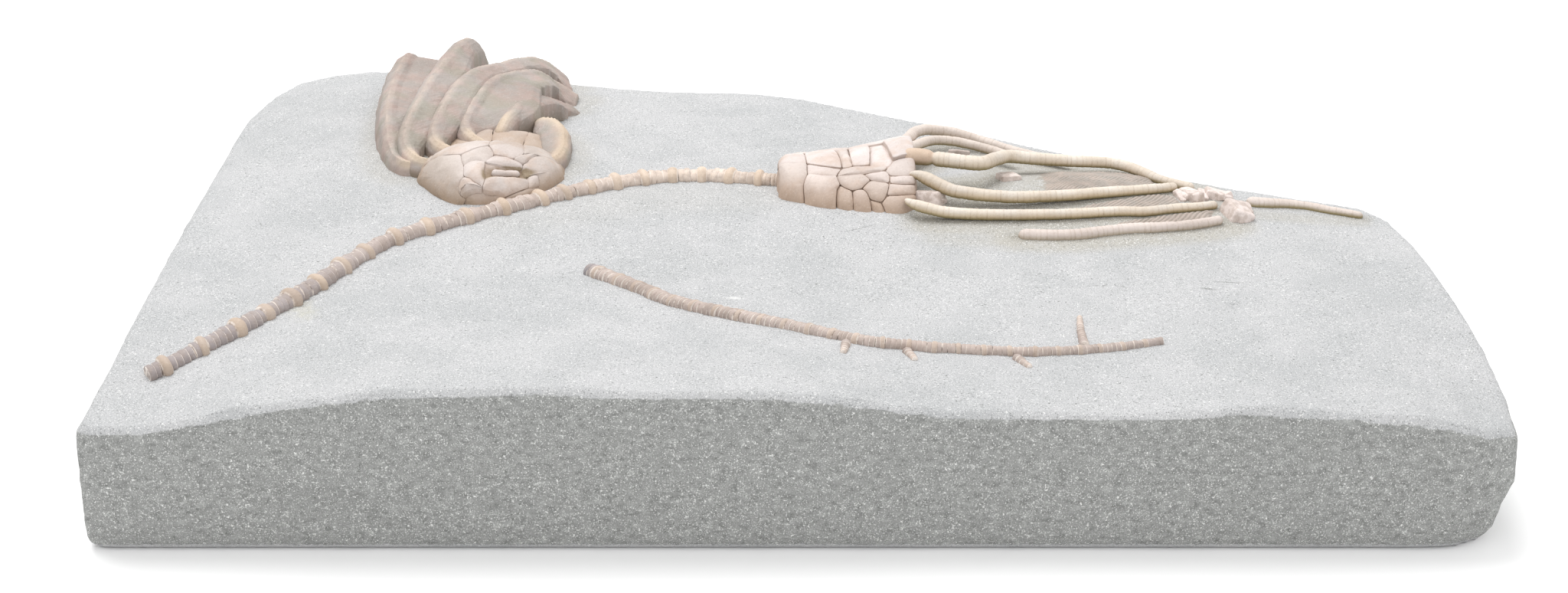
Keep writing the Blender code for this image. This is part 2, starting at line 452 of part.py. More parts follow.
def plated_cup_mesh(name, surface, axis, corners, plates, grow=0.0):
    """A cup whose wall is tiled with polygonal plates, each a step proud of the seams round it.

    The wall is laid out flat, as distance along the axis and distance round it, and its plates share
    their corners. A grown copy has no seams, so it clears the plates all over.
    """
    start = min(along for along, _ in corners.values())
    end = max(along for along, _ in corners.values())
    sheet = bmesh.new()
    placed = {key: sheet.verts.new((along, math.radians(angle) * ROUND_SCALE, 0.0))
              for key, (along, angle) in corners.items()}
    stands = {sheet.faces.new([placed[key] for key in keys.split()]): proud for keys, proud in plates}
    arcs = [e for e in sheet.edges if e.is_boundary and abs(e.verts[0].co.x - e.verts[1].co.x) < 1e-3]
    bmesh.ops.subdivide_edges(sheet, edges=arcs, cuts=2)
    lifts = {}
    for v in sheet.verts:
        lifts[v] = max([0.0] + [stands[face] for face in v.link_faces]) if grow else -PLATE_STEP
    for face, proud in stands.items():
        bmesh.ops.inset_individual(sheet, faces=[face], thickness=0.0)
        middle = face.calc_center_median()
        reach = sum((v.co - middle).length for v in face.verts) / len(face.verts)
        for v in face.verts:
            v.co = middle.lerp(v.co, 1 - SEAM_WIDTH / reach)
            lifts[v] = proud
        lifts[bmesh.ops.poke(sheet, faces=[face])["verts"][0]] = proud + PLATE_CROWN
    for v in sheet.verts:
        place = surface(v.co.x, v.co.y / ROUND_SCALE, lifts[v] + grow)
        if v.co.x < start + 1e-3:
            place -= axis * grow
        if v.co.x > end - 1e-3:
            place += axis * grow
        v.co = place
    rim = [e for e in sheet.edges if e.is_boundary]
    walls = bmesh.ops.extrude_edge_only(sheet, edges=rim)["geom"]
    for v in (g for g in walls if isinstance(g, bmesh.types.BMVert)):
        v.co.z = BURIED_Z
    floor = [g for g in walls if isinstance(g, bmesh.types.BMEdge) and g.is_boundary]
    bmesh.ops.contextual_create(sheet, geom=floor)
    return mesh_from(sheet, name)


def right_cup_mesh(name, grow=0.0):
    axis = Vector((1, 0, 0))
    return plated_cup_mesh(name, right_cup_point, axis, RIGHT_CUP_CORNERS, RIGHT_CUP_PLATES, grow)


def left_cup_mesh(name, grow=0.0):
    axis = Vector((0, 1, 0))
    return plated_cup_mesh(name, left_cup_point, axis, LEFT_CUP_CORNERS, LEFT_CUP_PLATES, grow)


def left_arm_mesh(arm, name, grow=0.0):
    """An arm of the left crown: a rounded crest with a steep left side and a ribbed flank to its right."""
    points, (left_start, left_end), left_drop, (drop_start, drop_end) = LEFT_ARMS[arm]
    path = resample(points, step=LEFT_ARM_STEP)
    rings = []
    for i, place in enumerate(path):
        ahead = path[min(i + 1, len(path) - 1)] - path[max(i - 1, 0)]
        side = Vector((ahead.y, -ahead.x, 0.0)).normalized()
        share = i / (len(path) - 1)
        left = left_start + (left_end - left_start) * share + grow
        right_drop = drop_start + (drop_end - drop_start) * share
        right = place.w + grow
        crest = place.z + grow
        rib = FLANK_RIB if i % 2 else -FLANK_RIB
        profile = [(-left, None), (-left, left_drop), (-left * 0.5, left_drop * 0.3), (0.0, 0.0),
                   (min(1.0, right * 0.4), right_drop * 0.08),
                   (min(1.9, right * 0.65), right_drop * 0.3 - rib),
                   (right * 0.85, right_drop * 0.65 - rib), (right, right_drop), (right, None)]
        ring = []
        for reach, drop in profile:
            x = place.x + side.x * reach
            y = place.y + side.y * reach
            z = surface_height(x, y) - EMBED if drop is None else crest - drop
            ring.append(Vector((x, y, max(z, surface_height(x, y) - EMBED * 0.6) if drop is not None else z)))
        rings.append(ring)
    return mesh_from(ring_solid(rings), name)


def fan_mesh(name):
    """A thin sheet between two arms, with ribs across it."""
    lower, upper = FANS[name]
    count = 9
    low = resample([(x, y, 0) for x, y in lower], count=count)
    high = resample([(x, y, 0) for x, y in upper], count=count)
    rings = []
    for i, (a, b) in enumerate(zip(low, high)):
        relief = FAN_RELIEF + (0.2 if i % 2 else -0.2)
        ring = []
        for t, edge in ((0.0, 0.3), (0.5, 1.0), (1.0, 0.3)):
            p = a.lerp(b, t)
            ring.append(Vector((p.x, p.y, surface_height(p.x, p.y) + relief * edge + 0.3)))
        ring += [Vector((p.x, p.y, surface_height(p.x, p.y) - FAN_DEPTH)) for p in (b, a)]
        rings.append(ring)
    return mesh_from(ring_solid(rings), name)


def chip_mesh(name):
    """A broken piece of a plate or arm: a small rough lump with flat sides."""
    (x, y), half, turn = CHIPS[name]
    bm = bmesh.new()
    bmesh.ops.create_cube(bm, size=1.7)
    bmesh.ops.bevel(bm, geom=bm.edges[:], offset=0.35, segments=1, affect="EDGES")
    angle = math.radians(turn)
    seat = surface_height(x, y)
    for v in bm.verts:
        rough = 1.0 + 0.3 * noise.noise(v.co * 1.3 + Vector((x, y, 0.0)))
        local = Vector((v.co.x * half[0], v.co.y * half[1], v.co.z * half[2])) * rough
        v.co = Vector((x + local.x * math.cos(angle) - local.y * math.sin(angle),
                       y + local.x * math.sin(angle) + local.y * math.cos(angle), seat + local.z * 1.2))
    return mesh_from(bm, name)


def colour(rgb):
    """A linear colour from one given in display values of 0 to 255."""
    return (*(c / 255 / 12.92 if c <= 10 else ((c / 255 + 0.055) / 1.055) ** 2.4 for c in rgb), 1.0)


def material(name, roughness):
    made = bpy.data.materials.new(name)
    made.use_nodes = True
    shader = made.node_tree.nodes["Principled BSDF"]
    shader.inputs["Base Color"].default_value = colour(COLOURS[name])
    shader.inputs["Roughness"].default_value = roughness
    made.diffuse_color = colour(COLOURS[name])
    return made


def add_object(mesh, collection, holder):
    made = bpy.data.objects.new(mesh.name, mesh)
    made.parent = holder
    collection.objects.link(made)
    return made


def cutter(mesh, collection, holder):
    made = add_object(mesh, collection, holder)
    made.hide_render = True
    made.display_type = "WIRE"
    return made


def trim(piece, cutters):
    """Cut a piece by each of the cutters, then keep its largest body and drop the crumbs."""
    for tool in cutters:
        cut = piece.modifiers.new("cut by " + tool.name, "BOOLEAN")
        cut.operation = "DIFFERENCE"
        cut.solver = "EXACT"
        cut.object = tool
    bpy.context.view_layer.update()
    mesh = bpy.data.meshes.new_from_object(piece.evaluated_get(bpy.context.evaluated_depsgraph_get()))
    piece.modifiers.clear()
    old = piece.data
    piece.data = mesh
    name = old.name
    bpy.data.meshes.remove(old)
    mesh.name = name
    bm = bmesh.new()
    bm.from_mesh(mesh)
    bmesh.ops.remove_doubles(bm, verts=bm.verts, dist=WELD * MM)
    bmesh.ops.dissolve_degenerate(bm, edges=bm.edges, dist=WELD * MM)
    bodies = []
    left = set(bm.verts)
    while left:
        body = set()
        edge_of = [left.pop()]
        while edge_of:
            v = edge_of.pop()
            body.add(v)
            for e in v.link_edges:
                other = e.other_vert(v)
                if other in left:
                    left.discard(other)
                    edge_of.append(other)
        bodies.append(body)
    largest = max(bodies, key=len)
    bmesh.ops.delete(bm, geom=[v for v in bm.verts if v not in largest], context="VERTS")
    bm.to_mesh(mesh)
    bm.free()


def build():
    for item in list(bpy.data.objects):
        bpy.data.objects.remove(item)
    plate = bpy.data.collections.new("crinoid_fossil_plate")
    tools = bpy.data.collections.new("cutters")
    bpy.context.scene.collection.children.link(plate)
    bpy.context.scene.collection.children.link(tools)
    holder = bpy.data.objects.new("plate_frame", None)
    plate.objects.link(holder)
    finishes = {name: material(name, 0.85 if name in ("siltstone", "fan") else 0.6) for name in COLOURS}

    def piece(mesh, finish):
        made = add_object(mesh, plate, holder)
        made.data.materials.clear()
        made.data.materials.append(finishes[finish])
        return made

    slab = piece(slab_mesh("matrix_slab"), "siltstone")
    ground = cutter(slab_mesh("ground_cutter", GAP), tools, holder)
    right_cup = piece(right_cup_mesh("right_cup"), "cup")
    left_cup = piece(left_cup_mesh("left_cup"), "cup")
    right_cup_tool = cutter(right_cup_mesh("right_cup_cutter", CUP_GAP), tools, holder)
    left_cup_tool = cutter(left_cup_mesh("left_cup_cutter", CUP_GAP), tools, holder)
    long_stem = piece(long_stem_mesh("long_stem"), "stem")
    stem_tool = cutter(long_stem_mesh("long_stem_cutter", GAP), tools, holder)
    trim(long_stem, [ground, right_cup_tool])
    trim(right_cup, [ground])
    trim(left_cup, [ground, stem_tool])

    short_stem = piece(short_stem_mesh("short_stem"), "stem")
    short_tool = cutter(short_stem_mesh("short_stem_cutter", GAP), tools, holder)
    trim(short_stem, [ground])
    for number, points in enumerate(CIRRI, 1):
        trim(piece(cirrus_mesh("cirrus_%d" % number, points), "stem"), [ground, short_tool])

    arm_tools = {}
    for name in RIGHT_ARMS:
        arm_tools[name] = cutter(right_arm_mesh(name, name + "_cutter", GAP), tools, holder)
    for name in RIGHT_ARMS:
        blocks = [ground, right_cup_tool]
        if name == "right_arm_inner_loop":
            blocks.append(arm_tools["right_arm_outer_loop"])
            blocks.append(arm_tools["right_arm_back"])
        if name == "right_arm_outer_loop":
            blocks.append(arm_tools["right_arm_back"])
        if name == "right_arm_middle":
            blocks.append(arm_tools["right_arm_back"])
        trim(piece(right_arm_mesh(name, name), "arm"), blocks)
    for name in FANS:
        trim(piece(fan_mesh(name), "fan"), [ground] + list(arm_tools.values()))
    for name in CHIPS:
        trim(piece(chip_mesh(name), "chip"), [ground, right_cup_tool] + list(arm_tools.values()))

    names = list(LEFT_ARMS)
    left_tools = {}
    for name in names:
        left_tools[name] = cutter(left_arm_mesh(name, name + "_cutter", GAP), tools, holder)
    for number, name in enumerate(names):
        blocks = [ground, left_cup_tool, stem_tool] + [left_tools[later] for later in names[number + 1:]]
        trim(piece(left_arm_mesh(name, name), "left_arm"), blocks)
    for made in plate.objects:
        if made.type == "MESH":
            made.data.shade_smooth()
            made.data.set_sharp_from_angle(angle=math.radians(SHARP_ANGLE))
    low = [min(v.co[i] for v in slab.data.vertices) for i in range(2)]
    high = [max(v.co[i] for v in slab.data.vertices) for i in range(2)]
    holder.location = (-(low[0] + high[0]) / 2, -(low[1] + high[1]) / 2, 0.0)


build()
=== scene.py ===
"""Crinoid fossil plate: the finished look of the slab and of every fossil on it.

The named lengths are in millimetres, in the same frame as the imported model, and become metres when a piece's
shape is set. Heights are counted from the plate's underside.
"""

import math
import random
from contextlib import contextmanager

import bpy
import numpy as np
from bpy.props import FloatProperty, FloatVectorProperty, PointerProperty
from mathutils import Euler, Matrix, Vector


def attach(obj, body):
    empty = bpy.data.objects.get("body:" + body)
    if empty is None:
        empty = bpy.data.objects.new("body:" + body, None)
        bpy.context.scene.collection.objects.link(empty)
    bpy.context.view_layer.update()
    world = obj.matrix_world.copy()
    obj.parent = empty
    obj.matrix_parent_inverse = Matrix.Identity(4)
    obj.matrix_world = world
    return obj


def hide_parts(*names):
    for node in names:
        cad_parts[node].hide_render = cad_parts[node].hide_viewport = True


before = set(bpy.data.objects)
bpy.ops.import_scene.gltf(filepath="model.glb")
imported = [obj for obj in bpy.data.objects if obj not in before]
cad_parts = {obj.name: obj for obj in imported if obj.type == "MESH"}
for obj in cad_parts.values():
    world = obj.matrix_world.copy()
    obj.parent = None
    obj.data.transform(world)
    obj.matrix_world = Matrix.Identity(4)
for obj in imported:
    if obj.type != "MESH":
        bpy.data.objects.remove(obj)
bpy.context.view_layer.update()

bl_info = {
    "name": "Crinoid fossil plate",
    "version": (1, 0, 0),
    "blender": (4, 5, 0),
    "location": "3D View > Sidebar > Fossil plate",
    "description": "Dresses a slab of siltstone with two crinoids, their stems and arms",
    "category": "Object",
}

MM = 0.001
FAR = 1e9
# Points between two named points of a smooth path, half the reach over which its direction is taken, and the
# steps in which a modifier's weights are stored
PATH_STEPS = 16
HEADING_REACH = 0.5
WEIGHT_STEPS = 20

# The slab's top: general height, heights of the front edge along X, and swells as centre X, centre Y, half
# length, half width and rise
BASE_HEIGHT = 21.2
FRONT_RIM = [
    (-104, 19.2), (-92, 19.0), (-85, 20.1), (-77, 22.1), (-66, 23.5), (-56, 24.8), (-34, 25.2), (-21, 24.4),
    (-4, 24.5), (5, 23.8), (15, 22.3), (22, 21.6), (45, 21.1), (57, 21.7), (65, 22.3), (72, 21.7), (78, 21.1),
    (86, 20.8), (92, 19.6), (97, 18.2), (104, 16.6),
]
FRONT_Y = -80.9
FRONT_REACH = 26.0
SWELLS = [
    (-20, 16, 60, 40, 1.0), (46, 3, 38, 13, 3.0), (-58, 40, 24, 36, 1.2), (-30, -22, 30, 16, -1.0),
    (98, 6, 26, 26, -1.6), (-96, 76, 22, 22, -0.8), (-54, 22.5, 14, 9, 2.3),
]
# Small dents of the top, as centre X, centre Y, radius and depth
DENTS = [(67.6, -41.6, 1.1, 0.8), (72.0, -29.0, 2.4, 0.25), (-88.0, 20.0, 3.5, 0.3), (20.0, -70.0, 4.0, 0.3)]

LONG_STEM = [
    (-93.9, -64.8), (-90.4, -60.8), (-86.0, -55.0), (-81.7, -48.3), (-77.9, -41.4), (-74.5, -34.0),
    (-71.2, -25.6), (-67.3, -17.6), (-63.7, -13.3), (-60.4, -10.3), (-53.4, -5.3), (-46.2, -0.6),
    (-38.8, 4.2), (-31.2, 8.7), (-23.4, 11.8), (-15.5, 12.5), (-9.5, 11.3), (-3.5, 9.8), (-1.0, 9.3),
]
SHORT_STEM = [
    (-32.7, -26.5), (-24.9, -34.2), (-18.6, -41.2), (-11.4, -46.0), (-4.4, -50.2), (2.5, -53.8), (9.2, -57.2),
    (16.0, -58.2), (22.6, -58.8), (29.3, -59.5), (36.0, -59.5), (42.9, -58.5), (48.7, -57.4), (54.6, -55.8),
]
CIRRI = [
    [(7.5, -58.4), (7.0, -62.4)], [(16.3, -59.8), (17.4, -63.0)], [(32.2, -61.2), (33.9, -64.6)],
    [(42.7, -56.6), (42.8, -51.1), (43.2, -46.2)],
]

# Arms of the right crown: X, Y and height of the centre line; then the radii at start and end, and whether
# the ossicles stand in two alternating rows
RIGHT_ARMS = {
    "right_arm_front": ([
        (18.6, -5.4, 25.1), (20.2, -7.0, 24.8), (24.3, -8.0, 24.0), (27.9, -8.3, 23.7), (33.4, -8.5, 23.6),
        (38.9, -8.5, 23.6), (46.2, -8.1, 23.6), (53.6, -7.0, 23.6), (58.7, -6.5, 23.4), (63.5, -4.9, 23.3),
        (68.3, -3.5, 23.1), (71.3, -2.0, 22.9)], 1.0, 0.8, True),
    "right_arm_middle": ([
        (19.5, 0.4, 27.6), (21.5, -0.3, 27.4), (25.7, -2.7, 26.1), (28.1, -3.5, 25.7), (33.1, -4.1, 25.3),
        (38.0, -4.2, 25.1), (45.4, -3.1, 25.0), (52.0, -1.4, 24.9), (58.2, 0.5, 24.6), (62.4, 2.2, 24.3),
        (65.3, 4.0, 23.9)], 1.15, 0.85, True),
    "right_arm_back": ([
        (18.5, 5.6, 28.8), (21.5, 5.8, 28.7), (26.1, 4.7, 28.5), (31.7, 4.2, 28.1), (34.9, 8.2, 27.5),
        (37.5, 12.5, 26.4), (42.1, 13.3, 25.7), (48.6, 14.1, 25.0), (56.0, 15.4, 24.1), (60.2, 12.0, 23.9),
        (63.5, 7.4, 23.8), (68.5, 4.6, 23.4)], 1.35, 0.85, False),
    "right_arm_outer_loop": ([
        (18.5, 17.0, 26.7), (20.4, 21.0, 26.8), (21.8, 26.0, 26.2), (23.9, 28.7, 25.8), (26.6, 30.1, 25.1),
        (29.3, 30.3, 24.6), (34.4, 28.4, 23.6), (39.2, 25.0, 23.1), (44.0, 21.0, 23.2), (48.5, 17.0, 23.8)
    ], 1.1, 0.8, False),
    "right_arm_inner_loop": ([
        (19.5, 15.0, 26.7), (22.3, 20.0, 26.1), (25.0, 23.6, 25.5), (28.5, 24.6, 25.0), (32.7, 23.1, 24.6),
        (36.3, 20.4, 24.4), (38.5, 17.4, 24.6)], 0.95, 0.8, False),
    "right_arm_low": ([
        (36.8, -14.1, 22.1), (40.8, -14.4, 22.1), (44.3, -14.4, 22.1), (48.0, -13.9, 22.2),
        (51.7, -12.8, 22.3), (55.9, -11.9, 22.4), (59.6, -11.5, 22.4), (64.1, -10.5, 22.3),
        (67.1, -9.5, 22.3), (71.3, -7.6, 22.3)], 1.15, 0.85, False),
    "right_arm_edge": ([
        (76.8, 0.5, 22.4), (80.5, 1.1, 21.9), (83.9, 1.8, 21.5), (87.2, 1.9, 21.1), (90.2, 0.8, 20.9),
        (93.3, -0.1, 20.7), (96.3, -1.2, 20.5)], 1.1, 0.7, False),
}
# Sheets of side branches: lower edge and upper edge, each from left to right
FANS = {
    "pinnule_fan_back": (
        [(41.5, -3.8), (45.4, -3.1), (52.0, -1.4), (58.2, 0.5), (62.4, 2.2)],
        [(41.0, 12.4), (45.5, 13.2), (51.5, 14.4), (57.4, 14.2), (62.4, 8.6)]),
    "pinnule_fan_middle": (
        [(44.0, -8.2), (53.6, -7.0), (58.7, -6.5), (62.5, -5.2), (66.6, -4.0)],
        [(46.0, -5.6), (54.0, -2.6), (60.0, 0.2), (63.0, 0.6), (65.2, -0.8)]),
    "pinnule_fan_front": (
        [(50.5, -13.2), (55.9, -11.9), (59.6, -11.5), (64.1, -10.5), (69.3, -8.6)],
        [(52.5, -9.4), (57.5, -8.4), (62.0, -6.8), (66.5, -5.0), (71.0, -3.2)]),
}
# Broken ossicles: centre, half sizes and turn about Z in degrees
CHIPS = {
    "chip_behind_arm": ((29.8, 26.3), (1.9, 1.3, 0.9), 10),
    "chip_between_arms": ((37.0, 7.6), (1.9, 1.7, 0.8), 20),
    "chip_at_cup": ((22.9, -2.0), (2.6, 1.7, 1.7), -30),
    "tip_fragment_ridge": ((67.4, 1.0), (2.9, 1.2, 1.3), -66),
    "tip_fragment_large": ((74.3, -4.4), (2.2, 2.8, 1.7), 20),
    "tip_fragment_small": ((72.2, 2.4), (2.6, 1.3, 1.1), 5),
}

# Millimetres round a cup for one radian, in the flat layout of its plates
CUP_ROUND = 10.5
# The right cup: start and end along X, centre line Y and base height; the corners of its plates, as distance
# along its axis and angle round it in degrees; and its plates, as corners and how far each stands out
RIGHT_CUP = (-2.6, 20.6, 8.9, 21.4)
# Its half width at the stem and what that gains towards the arms; its rise, slope and flare
RIGHT_CUP_WIDTH = (7.0, 7.5)
RIGHT_CUP_RISE = (5.8, 0.6, 2.6)
RIGHT_CUP_CORNERS = {
    "a0": (-2.6, 0), "a1": (8.2, 0), "a2": (15.0, 0), "a3": (20.6, 0),
    "b0": (-2.6, 30), "b1": (4.6, 34), "b2": (11.3, 31), "b3": (20.6, 30),
    "c0": (-2.6, 62), "c1": (1.9, 64), "c2": (7.1, 62), "c3": (9.5, 64), "c4": (13.1, 62), "c5": (15.6, 63),
    "c6": (20.6, 60),
    "d0": (-2.6, 103), "d1": (2.3, 104), "d2": (8.3, 112), "d3": (10.1, 110), "d4": (13.0, 110),
    "d5": (16.1, 115), "d6": (16.9, 108), "d7": (20.6, 106),
    "e1": (2.4, 125), "e2": (7.3, 125), "e3": (11.8, 122), "e4": (15.4, 120), "e5": (16.2, 127),
    "e6": (20.6, 132),
    "f1": (1.7, 145), "f2": (7.3, 143), "f3": (7.9, 137), "f4": (9.1, 142), "f5": (9.9, 144),
    "f6": (11.5, 141), "f7": (13.0, 131), "f8": (16.1, 136), "f9": (20.6, 142),
    "g0": (12.2, 144), "g1": (12.8, 154), "g2": (14.7, 158), "g3": (15.6, 150), "g4": (20.6, 154),
    "h0": (-2.6, 180), "h1": (1.9, 180), "h2": (7.3, 180), "h3": (10.0, 180), "h4": (13.2, 180),
    "h5": (16.2, 180), "h6": (20.6, 180),
}
RIGHT_CUP_PLATES = [
    ("a0 a1 b1 b0", 0.0), ("a1 a2 b2 b1", 0.1), ("a2 a3 b3 b2", 0.0), ("b0 b1 c1 c0", 0.1),
    ("b1 b2 c3 c2 c1", 0.0), ("b2 b3 c6 c5 c4 c3", 0.1), ("c0 c1 d1 d0", 0.0), ("c1 c2 d2 d1", 0.1),
    ("c2 c3 d3 d2", 0.0), ("c3 c4 d4 d3", 0.1), ("c4 c5 d6 d5 d4", -0.35), ("c5 c6 d7 d6", 0.35),
    ("d0 d1 e1 f1 h1 h0", 0.2), ("d1 d2 e2 e1", -0.1), ("d2 d3 d4 d5 e4 e3 e2", 0.0),
    ("d5 d6 d7 e6 e5 e4", -0.2), ("e5 e6 f9 f8", 0.0), ("e1 e2 f3 f2 h2 h1 f1", 0.5),
    ("e2 e3 f7 f6 f5 f4 f3", 0.15), ("e3 e4 e5 f8 f7", 0.0), ("f7 f8 g3 g2 g1 g0 f6", 0.1),
    ("f2 f3 f4 f5 h3 h2", 0.15), ("f5 f6 g0 g1 h4 h3", 0.2), ("g1 g2 h5 h4", 0.0), ("g2 g3 g4 h6 h5", 0.2),
    ("f8 f9 g4 g3", 0.1),
]
# The left cup, with its axis along Y: start and end along Y, centre line X and base height; its corners; and
# its plates, as corners, how far each stands out and how strongly the seams round it show
LEFT_CUP = (0.4, 18.5, -52.6, 21.7)
# Its half width and its rise in front, and what both gain towards the middle
LEFT_CUP_WIDTH = (5.6, 8.2)
LEFT_CUP_RISE = (4.0, 3.3)
LEFT_CUP_CORNERS = {
    "a0": (0.4, 0), "a1": (5.0, 0), "a2": (12.0, 0), "a3": (27.5, 0),
    "b0": (0.4, 30), "b1": (3.5, 23), "b2": (5.4, 16), "b3": (13.5, 26), "b4": (27.5, 30),
    "c1": (4.8, 38), "c2": (6.8, 31), "c3": (5.9, 49), "c4": (7.0, 53), "c5": (11.6, 48),
    "d0": (0.4, 60), "d1": (3.0, 60), "d2": (5.2, 70), "d3": (7.4, 65), "d4": (9.7, 59), "d5": (14.5, 64),
    "d6": (27.5, 62),
    "e0": (0.4, 90), "e1": (2.2, 86), "e2": (3.4, 89), "e3": (5.6, 90), "e4": (7.8, 83), "e5": (11.2, 90),
    "e6": (27.5, 96),
    "f1": (1.3, 104), "f2": (2.8, 117), "f3": (5.3, 113), "f4": (6.2, 102), "f5": (8.7, 113),
    "g0": (0.4, 146), "g1": (12.0, 144), "g2": (27.5, 140),
    "h0": (0.4, 180), "h1": (12.4, 180), "h2": (27.5, 180),
}
LEFT_CUP_PLATES = [
    ("a0 a1 b2 b1 b0", 0.0, 0.15), ("a1 a2 b3 c5 c4 c3 c1 c2 b2", 0.12, 0.12), ("a2 a3 b4 b3", 0.0, 0.1),
    ("b0 b1 c1 d1 e1 e0 d0", 0.1, 0.7), ("b1 b2 c2 c1", 0.12, 0.45), ("b3 b4 d6 d5 d4 c5", 0.1, 0.1),
    ("c3 c4 d3 e4 e3 d2", 0.0, 0.3), ("c4 c5 d4 d3", 0.12, 0.25), ("d3 d4 d5 e5 e4", 0.1, 0.15),
    ("d5 d6 e6 e5", 0.0, 0.1), ("e0 e1 e2 e3 f4 f3 f2 f1", 0.1, 0.6), ("e3 e4 e5 f5 f3 f4", 0.0, 0.2),
    ("e0 f1 f2 g0", 0.12, 0.4), ("e5 e6 g2 g1 f5", 0.1, 0.1), ("g0 f2 f3 f5 g1 h1 h0", 0.15, 0.15),
    ("g1 g2 h2 h1", 0.1, 0.1),
]
# The left cup's sunken slot: middle as distance along and angle, half sizes, lean and depth
LEFT_SLOT = ((4.1, 64), (4.0, 1.15), 0.26, 0.9)

# Arms of the left crown: X, Y and height of the crest and the reach of the flank to the right; then the reach
# to the left at both ends, the drop of the left edge below the crest, and that of the right edge at both ends
LEFT_ARMS = {
    "left_arm_1": ([
        (-62.8, 13.9, 24.6, 1.3), (-65.3, 13.5, 24.8, 1.4), (-68.0, 14.0, 25.0, 1.5),
        (-70.3, 16.9, 25.4, 1.8), (-71.6, 21.2, 26.2, 2.6), (-72.7, 27.0, 27.0, 4.0),
        (-73.8, 34.2, 27.9, 5.4), (-74.7, 46.0, 28.6, 7.8), (-74.7, 56.7, 29.0, 9.6),
        (-74.2, 64.6, 29.2, 10.8), (-73.8, 69.6, 24.7, 10.8)], (0.8, 4.5), 4.6, (0.6, 3.2)),
    "left_arm_2": ([
        (-62.6, 13.0, 25.6, 1.4), (-65.0, 13.4, 25.9, 1.6), (-66.9, 15.4, 26.3, 1.8),
        (-68.4, 18.6, 26.9, 2.8), (-68.9, 22.6, 27.9, 4.3), (-68.5, 27.0, 29.0, 4.5),
        (-67.7, 33.6, 30.3, 4.2), (-66.7, 41.5, 31.3, 4.4), (-65.4, 49.4, 32.0, 4.8),
        (-64.3, 57.8, 32.2, 3.6), (-62.4, 64.4, 32.2, 2.7), (-61.5, 68.6, 27.2, 2.7)
    ], (1.3, 3.8), 2.6, (1.6, 2.8)),
    "left_arm_3": ([
        (-59.0, 16.9, 26.2, 1.4), (-61.2, 17.7, 26.5, 1.6), (-63.0, 19.7, 26.8, 1.9),
        (-64.0, 22.9, 27.4, 3.2), (-63.8, 27.0, 28.7, 4.4), (-62.9, 33.0, 30.1, 4.5),
        (-61.5, 40.8, 31.0, 4.2), (-59.5, 49.5, 30.7, 4.0), (-55.8, 54.5, 30.2, 3.6),
        (-50.7, 60.7, 29.6, 4.6), (-47.3, 63.2, 27.8, 5.0), (-43.6, 64.4, 24.2, 5.0)
    ], (1.3, 2.6), 2.0, (1.2, 1.5)),
    "left_arm_4": ([
        (-54.0, 19.3, 26.8, 1.4), (-55.9, 20.8, 27.1, 1.6), (-57.6, 23.0, 27.4, 1.9),
        (-58.8, 26.1, 27.9, 4.6), (-58.6, 31.0, 28.8, 9.0), (-57.7, 36.7, 29.6, 11.5),
        (-56.1, 44.4, 30.1, 10.0), (-53.2, 50.7, 29.7, 8.0), (-48.6, 54.9, 28.7, 6.4),
        (-45.3, 56.6, 26.2, 5.0), (-41.0, 56.6, 23.2, 4.0)], (1.3, 2.2), 1.8, (2.8, 1.4)),
    "left_arm_5": ([
        (-52.6, 25.2, 26.9, 1.8), (-52.0, 28.8, 27.8, 2.0), (-50.6, 33.9, 28.4, 2.6),
        (-49.0, 40.6, 28.2, 4.2), (-46.4, 46.6, 26.2, 4.6), (-42.4, 51.0, 23.2, 3.6)
    ], (1.3, 2.2), 1.6, (1.4, 1.4)),
    "left_arm_6": ([
        (-46.8, 33.6, 26.3, 3.6), (-43.6, 32.2, 26.7, 4.2), (-41.4, 28.2, 26.6, 4.6),
        (-40.5, 21.6, 26.2, 4.6), (-40.9, 16.4, 25.7, 3.6), (-42.4, 13.8, 25.4, 1.8)
    ], (1.2, 1.2), 1.6, (1.7, 1.7)),
}

# Camera: place in metres, tilt from straight down, and focal length in pixels of the frame's width
CAMERA_PLACE = (-0.0016, -0.3756, 0.1632)
CAMERA_TILT = 67.2
FOCAL_PIXELS = 3092
FRAME_WIDTH = 2048
SENSOR_WIDTH = 36.0


def rgb(red, green, blue):
    """A linear colour from display values of 0 to 255."""
    return [c / 255 / 12.92 if c <= 10 else ((c / 255 + 0.055) / 1.055) ** 2.4 for c in (red, green, blue)]


def colour_property(name, description, red, green, blue):
    return FloatVectorProperty(name=name, description=description, subtype="COLOR", size=3, min=0.0, max=1.0,
                               default=rgb(red, green, blue))


def length_property(name, description, millimetres):
    return FloatProperty(name=name, description=description, default=millimetres * MM, min=0.0, unit="LENGTH",
                         precision=5)


class PlateSizes(bpy.types.PropertyGroup):
    """Sizes that a user would change."""
    stone_cell: length_property("Stone cell", "Size of the slab's surface cells", 0.8)
    side_roughness: length_property("Side roughness", "Height of the lumps on the slab's broken sides", 0.4)
    top_roughness: length_property("Top roughness", "Height of the unevenness of the prepared top", 0.16)
    long_ring: length_property("Long stem ring", "Thickness of a ring of the long stem", 1.12)
    long_radius: length_property("Long stem radius", "Radius of the long stem between its wide rings", 1.58)
    wide_ring: length_property("Wide ring spacing", "Distance from one wide ring to the next", 6.8)
    wide_reach: length_property("Wide ring reach", "How far a wide ring stands out of the stem", 0.62)
    short_ring: length_property("Short stem ring", "Thickness of a ring of the short stem", 0.92)
    ossicle: length_property("Ossicle length", "Length of one ossicle of an arm", 0.92)
    plate_bulge: length_property("Plate bulge", "How far a cup plate's middle stands out", 0.3)
    rib_pitch: length_property("Rib pitch", "Distance between two side branches on the left arms", 0.95)
    fan_pitch: length_property("Fan pitch", "Distance between two side branches in the fans", 0.62)


